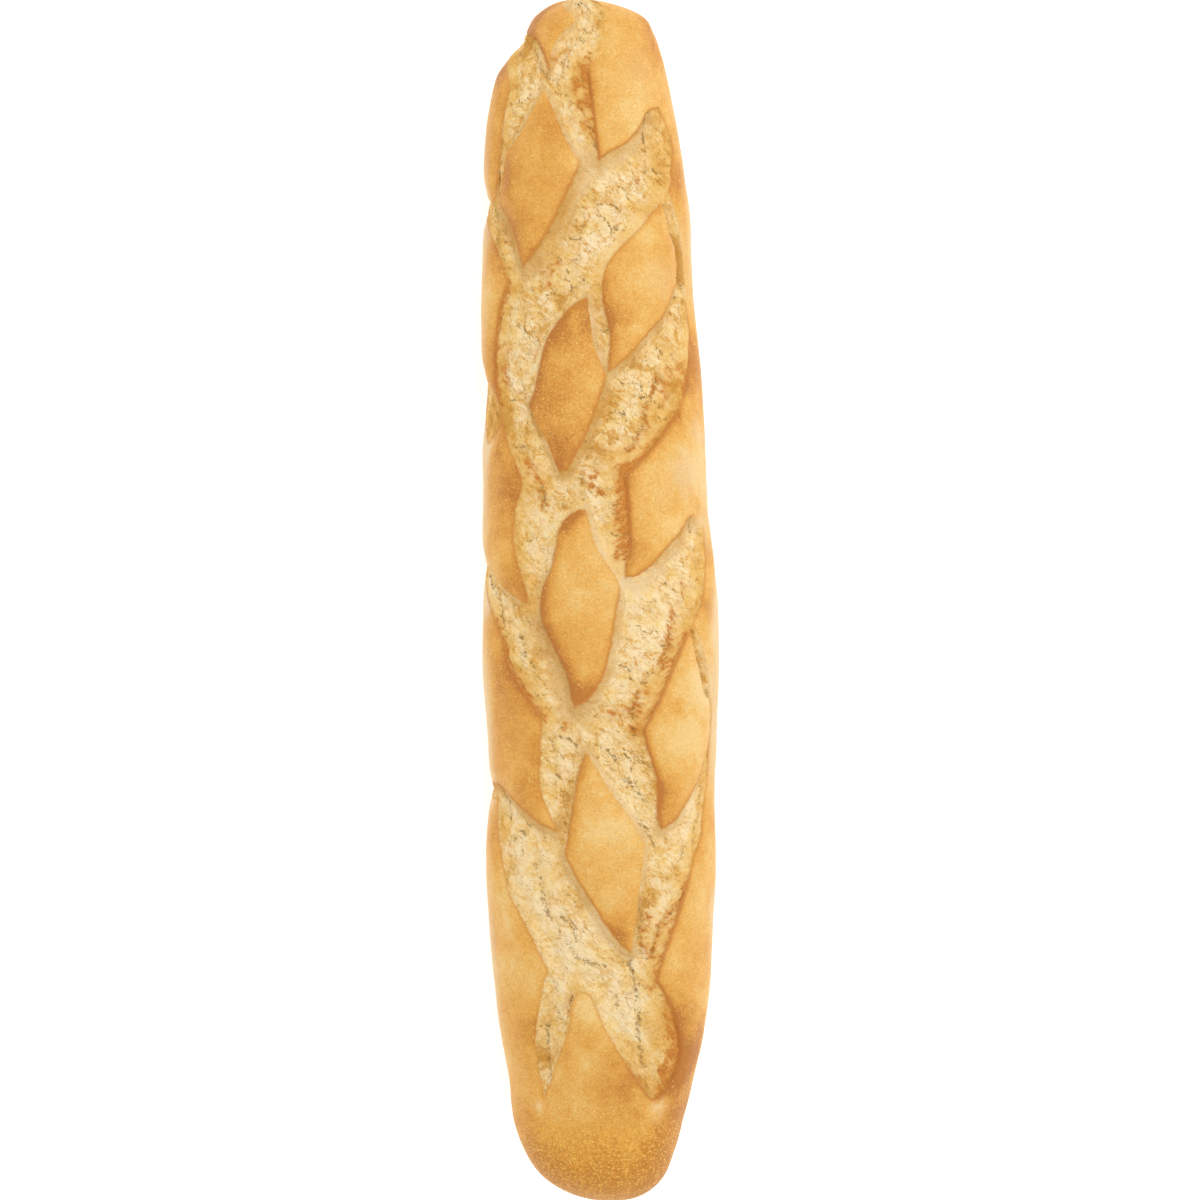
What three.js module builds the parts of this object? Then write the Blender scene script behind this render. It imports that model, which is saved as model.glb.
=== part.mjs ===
// A stick loaf of white bread, slashed criss-cross before baking.
// The slashes opened in the oven, so the smooth crust stands as pads between sunken bands of torn crumb.
// Millimetres. +Y runs along the loaf, +Z is up, and the loaf rests on the flat base that it was baked on.
import * as THREE from "three";

const loafLength = 400;
const widestHalf = 39.7; // half of the loaf's width at its widest, before the slashes
const crownHeight = 55; // from the base to the ridge there, before the slashes
const waistHeight = 21; // height of the widest line, and of both tips
const baseShare = 0.6; // half-width of the flat base over that of the loaf
const crownRoundness = 0.9; // below 1, the crown is fuller than an ellipse

const topEnd = { reach: 60, power: 2.45 }; // how far from the tip the rounding starts, and how blunt it is
const footEnd = { reach: 70, power: 2.5 };
const baseEnd = { reach: 28, power: 2 }; // the base lifts off the tray this close to a tip

const scoreDepth = 2.6; // from the crust down to the lowest crumb
const scoreWall = 3.5; // width of the slope from the crust to that depth
const crumbRise = 1; // how far the crumb swells up again in the middle of a wide slash
const padDrop = 0.9; // how far a pad curves down to its edge
const padRim = 8; // width of that curve
const tipFade = 14; // the slashes fade out where the loaf is narrower than this, half across

const segmentsAround = 44;
const segmentsOverCrown = 34; // the rest go under the widest line
const cornerShare = 0.8; // of those, this share rounds the corners to the base
const ringsAlong = 110;
const endRings = 16; // rings that crowd together towards each tip

const crustColour = 0xe9ab5c;
const crustRoughness = 0.62;

// Half-width of the loaf over its widest, along its length, before its ends are rounded.
const taper = [
  [-200, 0.9],
  [-170, 0.83],
  [-147, 0.855],
  [-120, 0.925],
  [-87, 0.965],
  [-53, 0.965],
  [-20, 1],
  [33, 0.965],
  [100, 0.905],
  [133, 0.865],
  [160, 0.82],
  [180, 0.81],
  [200, 0.87],
];

// The loaf bends a little to one side: where the middle of its width lies, along its length.
const bend = [
  [-200, 4.5],
  [-192, 0.6],
  [-178, -0.5],
  [-160, 0.5],
  [-20, 0.2],
  [67, -2.5],
  [110, -4.6],
  [165, -6.4],
  [190, -4.2],
  [196, -4],
  [200, -7.5],
];

// The slashes, set out on the crust as if it were unrolled: each end is [around from the ridge, along].
// bow is how far the middle strays to the left on the way from one end to the other, and open is the
// greatest width.
const slashes = [
  { from: [-41, 138], to: [12, 204], bow: 6, open: 17 },
  { from: [-38, 68], to: [44, 159], bow: 7, open: 27 },
  { from: [-30, 7], to: [49, 100], bow: 2, open: 24 },
  { from: [-22, -81], to: [48, 28], bow: 5, open: 25 },
  { from: [14, -126], to: [46, -57], bow: 5, open: 17 },
  { from: [-26, -164], to: [-12, -113], bow: 0, open: 12 },
  { from: [-68, 190], to: [9, 151], bow: 5, open: 16 },
  { from: [-67, 144], to: [-15, 103], bow: 0, open: 10 },
  { from: [33, 144], to: [47, 87], bow: 0, open: 7 },
  { from: [-74, 74], to: [-4, 38], bow: 2, open: 17 },
  { from: [0, 110], to: [6, 68], bow: 1, open: 6 },
  { from: [-66, 13], to: [-7, -44], bow: 5, open: 17 },
  { from: [0, 45], to: [10, -2], bow: 1, open: 12 },
  { from: [33, -9], to: [50, -40], bow: 0, open: 5 },
  { from: [-66, -50], to: [30, -167], bow: 5, open: 26 },
  { from: [2, -33], to: [20, -88], bow: 1, open: 14 },
];
const aroundScale = 37; // millimetres of unrolled crust for each radian round the loaf
const slashSteps = 40;

const smooth = (from, to, value) => THREE.MathUtils.smoothstep(value, from, to);

// A smooth curve through a table of [along, value] rows.
function follow(table, along) {
  const last = table.length - 1;
  const at = THREE.MathUtils.clamp(along, table[0][0], table[last][0]);
  const next = Math.max(1, table.findIndex(([place]) => place >= at));
  const slope = (row) => {
    const [before, after] = [table[Math.max(row - 1, 0)], table[Math.min(row + 1, last)]];
    return (after[1] - before[1]) / (after[0] - before[0]);
  };
  const [[p0, v0], [p1, v1]] = [table[next - 1], table[next]];
  const span = p1 - p0;
  const t = (at - p0) / span;
  const rise = (v1 - v0) * t * t * (3 - 2 * t);
  const start = t * (1 - t) ** 2 * slope(next - 1);
  const finish = t * t * (1 - t) * slope(next);
  return v0 + rise + span * (start - finish);
}

// 0 at a tip, rising to 1 where the rounding of that end is over.
function endRound(end, fromTip) {
  const left = Math.max(0, 1 - fromTip / end.reach);
  return Math.max(0, 1 - left ** end.power) ** (1 / end.power);
}

// The sizes of the cross-section at one place along the loaf.
function sectionAt(along) {
  const fromTip = loafLength / 2 - Math.abs(along);
  const size = follow(taper, along) * endRound(along > 0 ? topEnd : footEnd, fromTip);
  return {
    middle: follow(bend, along),
    half: widestHalf * size,
    above: (crownHeight - waistHeight) * size,
    below: waistHeight * endRound(baseEnd, fromTip),
  };
}

// A slash as a run of discs down its bowed middle line, widest halfway.
function slashDiscs({ from, to, bow, open }) {
  const start = new THREE.Vector2(...from);
  const way = new THREE.Vector2(...to).sub(start);
  const left = new THREE.Vector2(-way.y, way.x).normalize();
  return Array.from({ length: slashSteps + 1 }, (_, step) => {
    const t = step / slashSteps;
    const swell = 4 * t * (1 - t);
    const centre = start.clone().addScaledVector(way, t).addScaledVector(left, bow * swell);
    return { centre, radius: (open / 2) * Math.sqrt(swell) };
  });
}

const discs = slashes.flatMap(slashDiscs);

// How far a place on the unrolled crust lies inside the nearest slash; negative on a pad.
function slashDepth(around, along) {
  const place = new THREE.Vector2(around, along);
  return Math.max(...discs.map(({ centre, radius }) => radius - place.distanceTo(centre)));
}

// How far the skin lies under the full round of the loaf.
function relief(around, along) {
  const depth = slashDepth(around, along);
  const curveDown = padDrop * smooth(-padRim, 0, depth);
  const opening = scoreDepth * smooth(0, scoreWall, depth);
  const swell = crumbRise * smooth(scoreWall, 3 * scoreWall, depth);
  return curveDown + opening - swell;
}

// The full round of the loaf at one turn from the ridge, and the way out of it, both in the cross-section.
// A quarter turn is the widest line, and a half turn the middle of the base.
function sectionPoint({ middle, half, above, below }, turn) {
  const side = Math.sign(turn);
  const angle = Math.abs(turn);
  const quarter = Math.PI / 2;
  if (angle <= quarter) {
    const height = waistHeight + above * Math.cos(angle) ** crownRoundness;
    return {
      spot: new THREE.Vector2(middle + side * half * Math.sin(angle), height),
      outwards: new THREE.Vector2(side * Math.sin(angle) * above, Math.cos(angle) * half).normalize(),
    };
  }
  const base = half * baseShare;
  const under = (angle - quarter) / quarter / cornerShare;
  if (under <= 1) {
    const reach = base + (half - base) * Math.cos(under * quarter);
    return {
      spot: new THREE.Vector2(middle + side * reach, waistHeight - below * Math.sin(under * quarter)),
      outwards: new THREE.Vector2(side * Math.cos(under * quarter), -Math.sin(under * quarter)),
    };
  }
  const across = (1 - (angle - quarter) / quarter) / (1 - cornerShare);
  return {
    spot: new THREE.Vector2(middle + side * base * across, waistHeight - below),
    outwards: new THREE.Vector2(0, -1),
  };
}

// A point of the loaf's skin, sunk where the slashes are.
function skinPoint(turn, along) {
  const section = sectionAt(along);
  const { spot, outwards } = sectionPoint(section, turn);
  const underside = smooth(Math.PI / 2, Math.PI * (1 - cornerShare / 2), Math.abs(turn));
  const fade = smooth(0, tipFade, section.half) * (1 - underside);
  spot.addScaledVector(outwards, -fade * relief(turn * aroundScale, along));
  return new THREE.Vector3(spot.x, along, spot.y);
}

// How far from its tip a ring lies. share runs from 0 at the tip to 1 at the middle of the loaf.
// Rings are evenly spaced, but crowd together towards the tip.
function ringFromTip(share) {
  const crowded = (2 * endRings) / ringsAlong;
  const covered = share < crowded ? share ** 2 / (2 * crowded) : share - crowded / 2;
  return ((loafLength / 2) * covered) / (1 - crowded / 2);
}

// A sphere with its poles at the tips, drawn out into the loaf.
function loafGeometry() {
  const geometry = new THREE.SphereGeometry(1, segmentsAround, ringsAlong);
  const position = geometry.getAttribute("position");
  const quarter = Math.PI / 2;
  const crownTurn = (segmentsOverCrown / segmentsAround) * Math.PI;
  for (let index = 0; index < position.count; index += 1) {
    const [x, y, z] = [position.getX(index), position.getY(index), position.getZ(index)];
    const fromPole = Math.acos(Math.min(1, Math.abs(y))) / quarter;
    const along = Math.sign(y) * (loafLength / 2 - ringFromTip(fromPole));
    const turn = Math.atan2(x, z);
    const spread = Math.abs(turn);
    const angle =
      spread <= crownTurn
        ? (spread / crownTurn) * quarter
        : quarter * (1 + (spread - crownTurn) / (Math.PI - crownTurn));
    position.setXYZ(index, ...skinPoint(Math.sign(turn) * angle, along).toArray());
  }
  geometry.computeBoundingBox();
  const { min, max } = geometry.boundingBox;
  geometry.translate(-(min.x + max.x) / 2, -(min.y + max.y) / 2, -min.z);
  geometry.computeVertexNormals();
  return geometry;
}

const crust = new THREE.MeshStandardMaterial({
  color: crustColour,
  roughness: crustRoughness,
  metalness: 0,
});
const loaf = new THREE.Mesh(loafGeometry(), crust);
loaf.name = "loaf";

const bread = new THREE.Group();
bread.add(loaf);

export default bread;
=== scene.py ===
# A stick loaf, slashed criss-cross: smooth baked pads of crust with torn crumb between them.
from math import pi

import bpy
import numpy as np
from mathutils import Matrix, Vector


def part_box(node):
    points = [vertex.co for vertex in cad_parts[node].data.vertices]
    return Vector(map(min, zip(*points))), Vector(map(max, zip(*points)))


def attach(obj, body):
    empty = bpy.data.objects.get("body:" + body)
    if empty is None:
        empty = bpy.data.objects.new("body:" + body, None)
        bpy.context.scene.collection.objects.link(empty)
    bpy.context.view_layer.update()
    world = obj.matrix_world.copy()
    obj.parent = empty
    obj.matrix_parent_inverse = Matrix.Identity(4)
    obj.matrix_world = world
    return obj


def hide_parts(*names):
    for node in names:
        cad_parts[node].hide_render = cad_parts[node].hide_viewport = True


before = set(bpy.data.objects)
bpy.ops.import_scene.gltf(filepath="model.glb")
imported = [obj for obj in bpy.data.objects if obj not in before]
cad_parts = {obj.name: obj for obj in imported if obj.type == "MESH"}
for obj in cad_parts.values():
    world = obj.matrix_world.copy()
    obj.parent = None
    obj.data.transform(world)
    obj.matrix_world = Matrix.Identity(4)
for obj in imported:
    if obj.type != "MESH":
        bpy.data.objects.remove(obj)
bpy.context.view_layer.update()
loafLow, loafHigh = (np.array(corner) * 1000 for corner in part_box("loaf"))  # millimetres
print("frame loaded")

# The loaf is worked out in millimetres. A place on it is (around, along): around is millimetres of
# crust from the ridge, to the right, as if the crust were unrolled, and along is millimetres from the
# middle, towards the top end.
loaf = {
    "length": loafHigh[1] - loafLow[1],
    "widestHalf": 39.8,
    "crown": loafHigh[2] + 0.5,  # height of the ridge before the slashes
    "waist": 21,  # height of the widest line
    "baseShare": 0.6,  # flat base over width
    "crownRoundness": 0.9,  # below 1, the crown is fuller than an ellipse
    "aroundScale": 37,  # millimetres of crust for each radian
    "topEnd": (60, 2.45),  # how far the rounding of the end reaches, and how blunt it is
    "footEnd": (70, 2.5),
    "baseEnd": (28, 2.0),
    "segments": 148,
    "crownSegments": 110,
    "cornerShare": 0.8,  # of the underside's segments
    "rings": 340,
    "endRings": 30,  # rings that crowd together towards each tip
    "finerCrust": 0.9,  # faces are finer in the crumb and this far out on the crust
    "finerTurn": pi / 2 + 0.05,  # and down to this turn from the ridge
    # half-width over the widest, and how far to the right the middle lies, along the loaf
    "taper": [
        (-200, 0.83), (-195, 0.862), (-183, 0.833), (-168, 0.812), (-160, 0.81), (-147, 0.848),
        (-126, 0.905), (-105, 0.942), (-84, 0.963), (-63, 0.942), (-49, 0.955), (-21, 0.989), (0, 0.984),
        (14, 0.971), (28, 0.946), (63, 0.925), (98, 0.892), (133, 0.856), (161, 0.809), (175, 0.803),
        (189, 0.798), (195, 0.84), (200, 0.76),
    ],
    "bend": [
        (-200, 3.6), (-195, 1.8), (-189, 0.5), (-175, -0.5), (-161, 0.35), (-147, 0.65), (-84, 0.35),
        (-49, 0.7), (-21, 0.35), (0, 0.15), (14, -0.65), (28, -1.5), (63, -2.2), (84, -3.3), (98, -4.1),
        (133, -4.5), (147, -5.6), (161, -6.15), (175, -6), (189, -4), (195, -3.9), (200, -6.5),
    ],
}


def smooth(low, high, value):
    t = np.clip((value - low) / (high - low), 0, 1)
    return t * t * (3 - 2 * t)


def follow(table, at):
    # a smooth curve through a table of (place, value) rows
    places, values = np.array(table, float).T
    slopes = np.gradient(values, places)
    at = np.clip(at, places[0], places[-1])
    row = np.clip(np.searchsorted(places, at) - 1, 0, len(places) - 2)
    span = places[row + 1] - places[row]
    t = (at - places[row]) / span
    rise = (values[row + 1] - values[row]) * t * t * (3 - 2 * t)
    return values[row] + rise + span * (t * (1 - t) ** 2 * slopes[row] - t * t * (1 - t) * slopes[row + 1])


def scatter(cellX, cellY, seed):
    # a fixed random number from 0 to 1 for each cell of a grid, mixed with large odd numbers
    mixed = cellX * 374761393 + cellY * 668265263 + seed * 974634777
    mixed = (mixed ^ (mixed >> 13)) * 1274126177 & 0xFFFFFFFF
    mixed = mixed ^ (mixed >> 16)
    return (mixed & 0xFFFF) / 0xFFFF


def noise(x, y, seed):
    # smooth noise from -1 to 1 over a plane, one bump to each unit
    cellX, cellY = np.floor(x).astype(np.int64), np.floor(y).astype(np.int64)
    tx, ty = x - cellX, y - cellY
    tx, ty = tx ** 3 * (tx * (tx * 6 - 15) + 10), ty ** 3 * (ty * (ty * 6 - 15) + 10)
    total = np.zeros(len(x))
    for stepX in (0, 1):
        for stepY in (0, 1):
            angle = scatter(cellX + stepX, cellY + stepY, seed) * 2 * pi
            pull = np.cos(angle) * (x - cellX - stepX) + np.sin(angle) * (y - cellY - stepY)
            total += pull * (tx if stepX else 1 - tx) * (ty if stepY else 1 - ty)
    return total * 1.5


def layered(around, along, size, seed, layers=3):
    # noise with bumps of one size, and finer and fainter layers on top
    x, y = around / size, along / size
    return sum(noise(x * 2 ** k, y * 2 ** k, seed + k) / 2 ** k for k in range(layers)) / 1.5


def hump(middle, width, value):
    # a bell that is 1 at its middle
    return np.exp(-((value - middle) / width) ** 2)


def curveThrough(points, steps=6):
    # a smooth open curve through a few points
    points = np.array(points, float)
    if len(points) == 2:
        return points
    spots = np.arange(len(points), dtype=float)
    at = np.linspace(0, len(points) - 1, (len(points) - 1) * steps + 1)
    return np.stack([follow(list(zip(spots, points[:, k])), at) for k in (0, 1)], axis=1)


def distanceTo(curve, x, y, seen):
    # distance to an open curve, no further than seen
    result = np.full(len(x), float(seen))
    low, high = curve.min(0) - seen, curve.max(0) + seen
    near = np.flatnonzero((x > low[0]) & (x < high[0]) & (y > low[1]) & (y < high[1]))
    px, py = x[near], y[near]
    best = np.full(len(near), float(seen))
    for (x1, y1), (x2, y2) in zip(curve[:-1], curve[1:]):
        dx, dy = x2 - x1, y2 - y1
        t = np.clip(((px - x1) * dx + (py - y1) * dy) / (dx * dx + dy * dy + 1e-12), 0, 1)
        best = np.minimum(best, np.hypot(px - x1 - t * dx, py - y1 - t * dy))
    result[near] = best
    return result


# Spots are rounded patches. These are the shares of its radius where a spot starts to fade and is gone,
# and the size and strength of the unevenness of its border.
spotBorder = {"full": 0.1, "gone": 1.3, "ragSize": 4, "raggedness": 0.45}


def spotted(spots, around, along, raggedness=spotBorder["raggedness"]):
    # how strongly spots cover each place; a spot is around, along, radius and perhaps its strength
    most, least = np.zeros(len(around)), np.zeros(len(around))
    ragged = 1 + raggedness * layered(around, along, spotBorder["ragSize"], 61)
    for spotAround, spotAlong, radius, *strength in spots:
        off = np.hypot(around - spotAround, along - spotAlong) / ragged
        share = smooth(spotBorder["full"] * radius, spotBorder["gone"] * radius, off)
        covered = (strength or [1])[0] * (1 - share)
        most, least = np.maximum(most, covered), np.minimum(least, covered)
    return most + least


def endRound(end, fromTip):
    reach, power = end
    left = np.clip(1 - fromTip / reach, 0, 1)
    return np.clip(1 - left ** power, 0, 1) ** (1 / power)


def sizesAt(along):
    # half the width, and the heights above and below the widest line
    fromTip = loaf["length"] / 2 - np.abs(along)
    tips = np.where(along > 0, endRound(loaf["topEnd"], fromTip), endRound(loaf["footEnd"], fromTip))
    size = follow(loaf["taper"], along) * tips
    above = (loaf["crown"] - loaf["waist"]) * size
    return loaf["widestHalf"] * size, above, loaf["waist"] * endRound(loaf["baseEnd"], fromTip)


def roundOf(turn, along):
    # the full round of the loaf, before the slashes, with the ways out of it and to the right on it
    half, above, below = sizesAt(along)
    side, angle = np.sign(turn), np.abs(turn)
    under = (angle - pi / 2) / (pi / 2)
    corner = np.clip(under / loaf["cornerShare"], 0, 1) * pi / 2
    base = half * loaf["baseShare"]
    across = np.clip((1 - under) / (1 - loaf["cornerShare"]), 0, 1)
    crownCos = np.clip(np.cos(angle), 0, 1)
    reach = np.where(under > 0, base * across + (half - base) * np.cos(corner), half * np.sin(angle))
    height = np.where(under > 0, -below * np.sin(corner), above * crownCos ** loaf["crownRoundness"])
    outX = np.where(under > 0, np.cos(corner), np.sin(angle) * above)
    outZ = np.where(under > 0, -np.sin(corner), crownCos * half)
    long = np.hypot(outX, outZ) + 1e-9
    level = np.zeros(len(along))
    spots = np.stack([follow(loaf["bend"], along) + side * reach, along, loaf["waist"] + height], axis=1)
    outwards = np.stack([side * outX / long, level, outZ / long], axis=1)
    sideways = np.stack([outZ / long, level, -side * outX / long], axis=1)
    return spots, outwards, sideways


# Each pad of crust goes round its outline side by side. A side starts at a corner and ends where the
# next begins. The first word says what the crumb is like there, and the words are those of edges, below.
# open isn't an edge, only the way round through the flank.
pads = {
    "crownA": [
        ("wall", (-16, 167.5), (-11.5, 161), (-7, 152)),
        ("broad", (-1.5, 143), (-9, 131), (-16, 119)),
        ("broad", (-25, 109.5), (-28, 117), (-34, 127)),
        ("soft", (-40, 131), (-36, 141), (-34, 147), (-29, 151), (-25, 155), (-21, 161)),
    ],
    "crownB": [
        ("wall", (0, 99), (0.5, 92), (1, 85), (3, 78)),
        ("wide", (5, 73.5), (2, 66), (-1, 58), (-5, 50), (-9, 43.5)),
        ("wall", (-12, 41.5), (-16, 51), (-21, 59.5)),
        ("crease", (-23.5, 64), (-21, 69), (-18.5, 77), (-15.5, 85), (-11, 91), (-5, 96.5)),
    ],
    "crownC": [
        ("wall", (-3, 29.5), (-1, 19), (2, 13), (5, 8)),
        ("wide", (6.5, 3.5), (5, -3), (3.5, -12), (2, -20), (0, -26), (-4, -32)),
        ("deep", (-9, -35), (-11, -24), (-15, -16), (-19, -8)),
        ("crease", (-20.5, -3), (-19, 4), (-16, 9.5), (-14, 16), (-13, 21), (-10.5, 26), (-6, 29)),
    ],
    "crownD": [
        ("wall", (-5.5, -49.5), (1, -60), (6, -67), (10, -72)),
        ("wall", (14.5, -80), (14, -86), (13, -93), (12, -101), (11, -109)),
        ("wide", (10, -115.5), (6, -112), (2, -107), (-3, -99), (-8, -91)),
        ("crease", (-12, -83), (-10.5, -75), (-9.5, -67), (-8, -58)),
    ],
    "shoulder": [
        ("wall", (31, 131), (35, 121), (38, 116), (39, 110)),
        ("wide", (38, 104), (30, 94), (22, 88), (12, 79)),
        ("crease", (6, 75), (6.5, 80), (7.5, 88), (6, 95)),
        ("gold", (5.5, 104), (8, 111), (14, 117), (20, 122), (27, 128)),
    ],
    "tipLeft": [
        ("sharp", (-74, 187), (-66, 189.5), (-45, 188), (-30, 185), (-20, 179.5)),
        ("wall", (-14.5, 174.5), (-16.5, 181), (-15, 187), (-8.5, 192), (-20, 196)),
        ("open", (-34, 199)),
        ("open", (-90, 215)),
        ("open", (-90, 187)),
    ],
    "tipRight": [
        ("open", (20, 200)),
        ("melted", (14, 196), (10, 190), (8, 182)),
        ("burnt", (3, 175), (4, 170)),
        ("toast", (4.5, 165), (5.2, 158)),
        ("sharp", (5.5, 153)),
        ("broad", (6, 144.5), (10, 147), (17, 150), (24, 155), (30, 161)),
        ("gold", (38, 162.5), (44, 155), (45, 150), (42, 145), (39, 139)),
        ("soft", (36, 135), (42, 122), (46, 105)),
        ("gold", (46, 95), (47, 90), (44, 82), (40, 73), (36, 67)),
        ("open", (34, 62), (36, 45)),
        ("soft", (40, 28), (44, 26)),
        ("gold", (48, 24), (46, 16), (44, 10), (40, 0)),
        ("soft", (34, -8), (40, -16)),
        ("gold", (50, -38), (47, -50), (47, -58), (45, -65), (42, -72), (40, -78), (36, -84)),
        ("toast", (33, -92), (31, -97), (28, -104), (25, -111), (22, -118)),
        ("bare", (20, -125), (24, -129.5)),
        ("burnt", (28, -135), (32.7, -142.5), (36, -150), (35.5, -155), (32, -160)),
        ("bare", (29.5, -163), (24, -164.5), (18.5, -161.5)),
        ("edged", (11.5, -154.5), (6, -148), (0.5, -139.5), (-4, -130)),
        ("plain", (-8.5, -128), (-11, -133), (-12.5, -141), (-16, -148), (-20, -154.5), (-22.5, -159.5)),
        ("plain", (-26, -163.5), (-27, -157), (-27.5, -150), (-26.5, -142), (-24, -134), (-22, -127)),
        ("edged", (-19.5, -122), (-25, -112), (-30, -104), (-36, -96), (-38, -90), (-42, -80),
         (-45, -72), (-46, -66), (-52, -66), (-58, -65), (-64, -63)),
        ("open", (-90, -62.7)),
        ("open", (-90, -240)),
        ("open", (90, -240)),
        ("open", (90, 215)),
    ],
    "leftA": [
        ("melted", (-74, 186.5), (-66, 182), (-50, 179), (-40, 174)),
        ("gold", (-36.5, 170), (-37.5, 160), (-38.5, 150), (-40, 142), (-42, 134)),
        ("wall", (-45, 131), (-52, 133), (-60, 135), (-68, 134.5), (-73, 133)),
        ("open", (-90, 132.5)),
        ("open", (-90, 187)),
    ],
    "leftB": [
        ("gold", (-73, 132.5), (-67, 130), (-60, 128), (-52, 124), (-44, 119), (-38, 113.5), (-32, 105)),
        ("toast", (-32, 104), (-36, 98), (-39.5, 90), (-42, 81), (-41.5, 73)),
        ("wall", (-38.5, 64.5), (-46, 70), (-56, 75), (-66, 77.5), (-74, 77)),
        ("open", (-90, 76.5)),
        ("open", (-90, 132.5)),
    ],
    "leftC": [
        ("gold", (-74, 76.5), (-68, 71), (-60, 61), (-50, 52), (-42, 55)),
        ("gold", (-37, 58), (-33, 50), (-28, 42), (-27, 37), (-30, 30), (-31, 22), (-30, 15), (-28, 9),
         (-25.5, 3)),
        ("wall", (-25, -1.5), (-30, 0.5), (-37, 4), (-45, 10), (-52, 12), (-60, 15), (-68, 16.5),
         (-73, 16.5)),
        ("open", (-90, 16.5)),
        ("open", (-90, 76.5)),
    ],
    "leftD": [
        ("gold", (-73, 16), (-68, 13), (-62, 9), (-48, -2), (-40, -11)),
        ("toast", (-37, -14), (-35, -20), (-30, -27), (-25, -33)),
        ("edged", (-20.5, -39), (-21.5, -47), (-22, -56), (-22, -62), (-19, -68)),
        ("wide", (-15, -75.5), (-20, -74), (-27, -70), (-34, -66), (-40, -62.5), (-46, -61), (-56, -61),
         (-64, -62.5)),
        ("open", (-90, -62.7)),
        ("open", (-90, 16.5)),
    ],
    "rightB": [
        ("toast", (33.5, 61), (29, 58), (24, 53), (18, 47)),
        ("burnt", (11, 41), (11.5, 32), (11.5, 25), (11, 20)),
        ("crease", (10.5, 16), (9, 12)),
        ("broad", (8.5, 7.5), (12, 8), (17, 11), (24, 17), (31, 22), (37, 27)),
        ("open", (41, 28), (37, 44)),
    ],
    "rightD": [
        ("toast", (14, -42), (19, -34), (22, -28), (26, -20), (30, -12.5)),
        ("wall", (33, -11), (35, -18), (38, -25), (41, -31), (46, -34)),
        ("wide", (48, -44), (44, -52), (41, -57), (37, -62), (32, -67), (27, -72)),
        ("sharp", (21, -75), (19.5, -70), (20, -62), (18, -55), (15, -47)),
    ],
}

# What it is like beside each kind of edge. wall, gold and toast are smooth pale wall, golden skin and
# toasted rim in the crumb, and rim is browner crust: how far each reaches, in millimetres, and how strong
# it is. crease is how deep the crust is undercut, and dark is how much painted shade and browning shows
# in that crease. line is how much of a thin brown line shows, partly the lip's painted shadow, and how
# much the wall is painted darker beside the edge as shade. fall is how deep the crumb begins, how far
# out it goes on falling, and how deep it lies there.
edges = {
    "wall": {"wall": (3, 0.8), "line": 0.15, "crease": 0.1, "dark": 0.02, "fall": (0.4, 3.2, 2.3)},
    "wide": {"wall": (3.8, 1), "rim": (2.5, 0.25), "line": 0.9, "crease": 0.15, "dark": 0.15,
             "fall": (0.4, 4.2, 2.5)},
    "broad": {"wall": (7.5, 1), "rim": (2.5, 0.3), "line": 1, "crease": 0.2, "dark": 0.15,
              "fall": (0.5, 6, 2.8)},
    "deep": {"wall": (9, 1), "rim": (5, 0.85), "line": 0.9, "crease": 0.6, "dark": 0.5,
             "fall": (0.9, 4, 2.7)},
    "toast": {"gold": (7.5, 0.9), "toast": (3, 0.7), "rim": (3.5, 0.4), "line": 0.6, "crease": 0.5,
              "dark": 0.5, "fall": (0.5, 9, 2.4)},
    "burnt": {"gold": (12, 1), "toast": (6, 1), "rim": (4, 0.6), "line": 0.6, "crease": 0.8, "dark": 0.6,
              "fall": (0.6, 9, 2.4)},
    "gold": {"gold": (6, 0.8), "toast": (1.2, 0.25), "rim": (3, 0.25), "line": 0.4, "crease": 0.3,
             "dark": 0.15, "fall": (0.3, 8, 2.2)},
    "edged": {"gold": (7, 0.35), "line": 0.5, "crease": 0.15, "dark": 0.05, "fall": (0.3, 6, 2.2)},
    "crease": {"wall": (2, 0.5), "rim": (4, 0.65), "line": 0.35, "crease": 0.55, "dark": 0.2,
               "fall": (0.7, 5, 2.4)},
    "bare": {"rim": (3.5, 0.4), "line": 0.9, "crease": 0.6, "dark": 0.45, "fall": (0.7, 6, 2.2)},
    "plain": {"rim": (2, 0.2), "line": 0.25, "crease": 0.15, "dark": 0.05, "fall": (0.3, 5, 2.1)},
    "sharp": {"wall": (2, 0.4), "rim": (3, 0.7), "line": 0.9, "crease": 0.4, "dark": 0.5,
              "fall": (0.6, 5, 2.6)},
    "melted": {"gold": (6, 0.8), "line": 0, "crease": 0, "dark": 0, "fall": (0.1, 6, 1.8)},
    "soft": {"wall": (2, 0.8), "line": 0.1, "crease": 0, "dark": 0, "fall": (0.1, 5, 2.0)},
}

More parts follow.
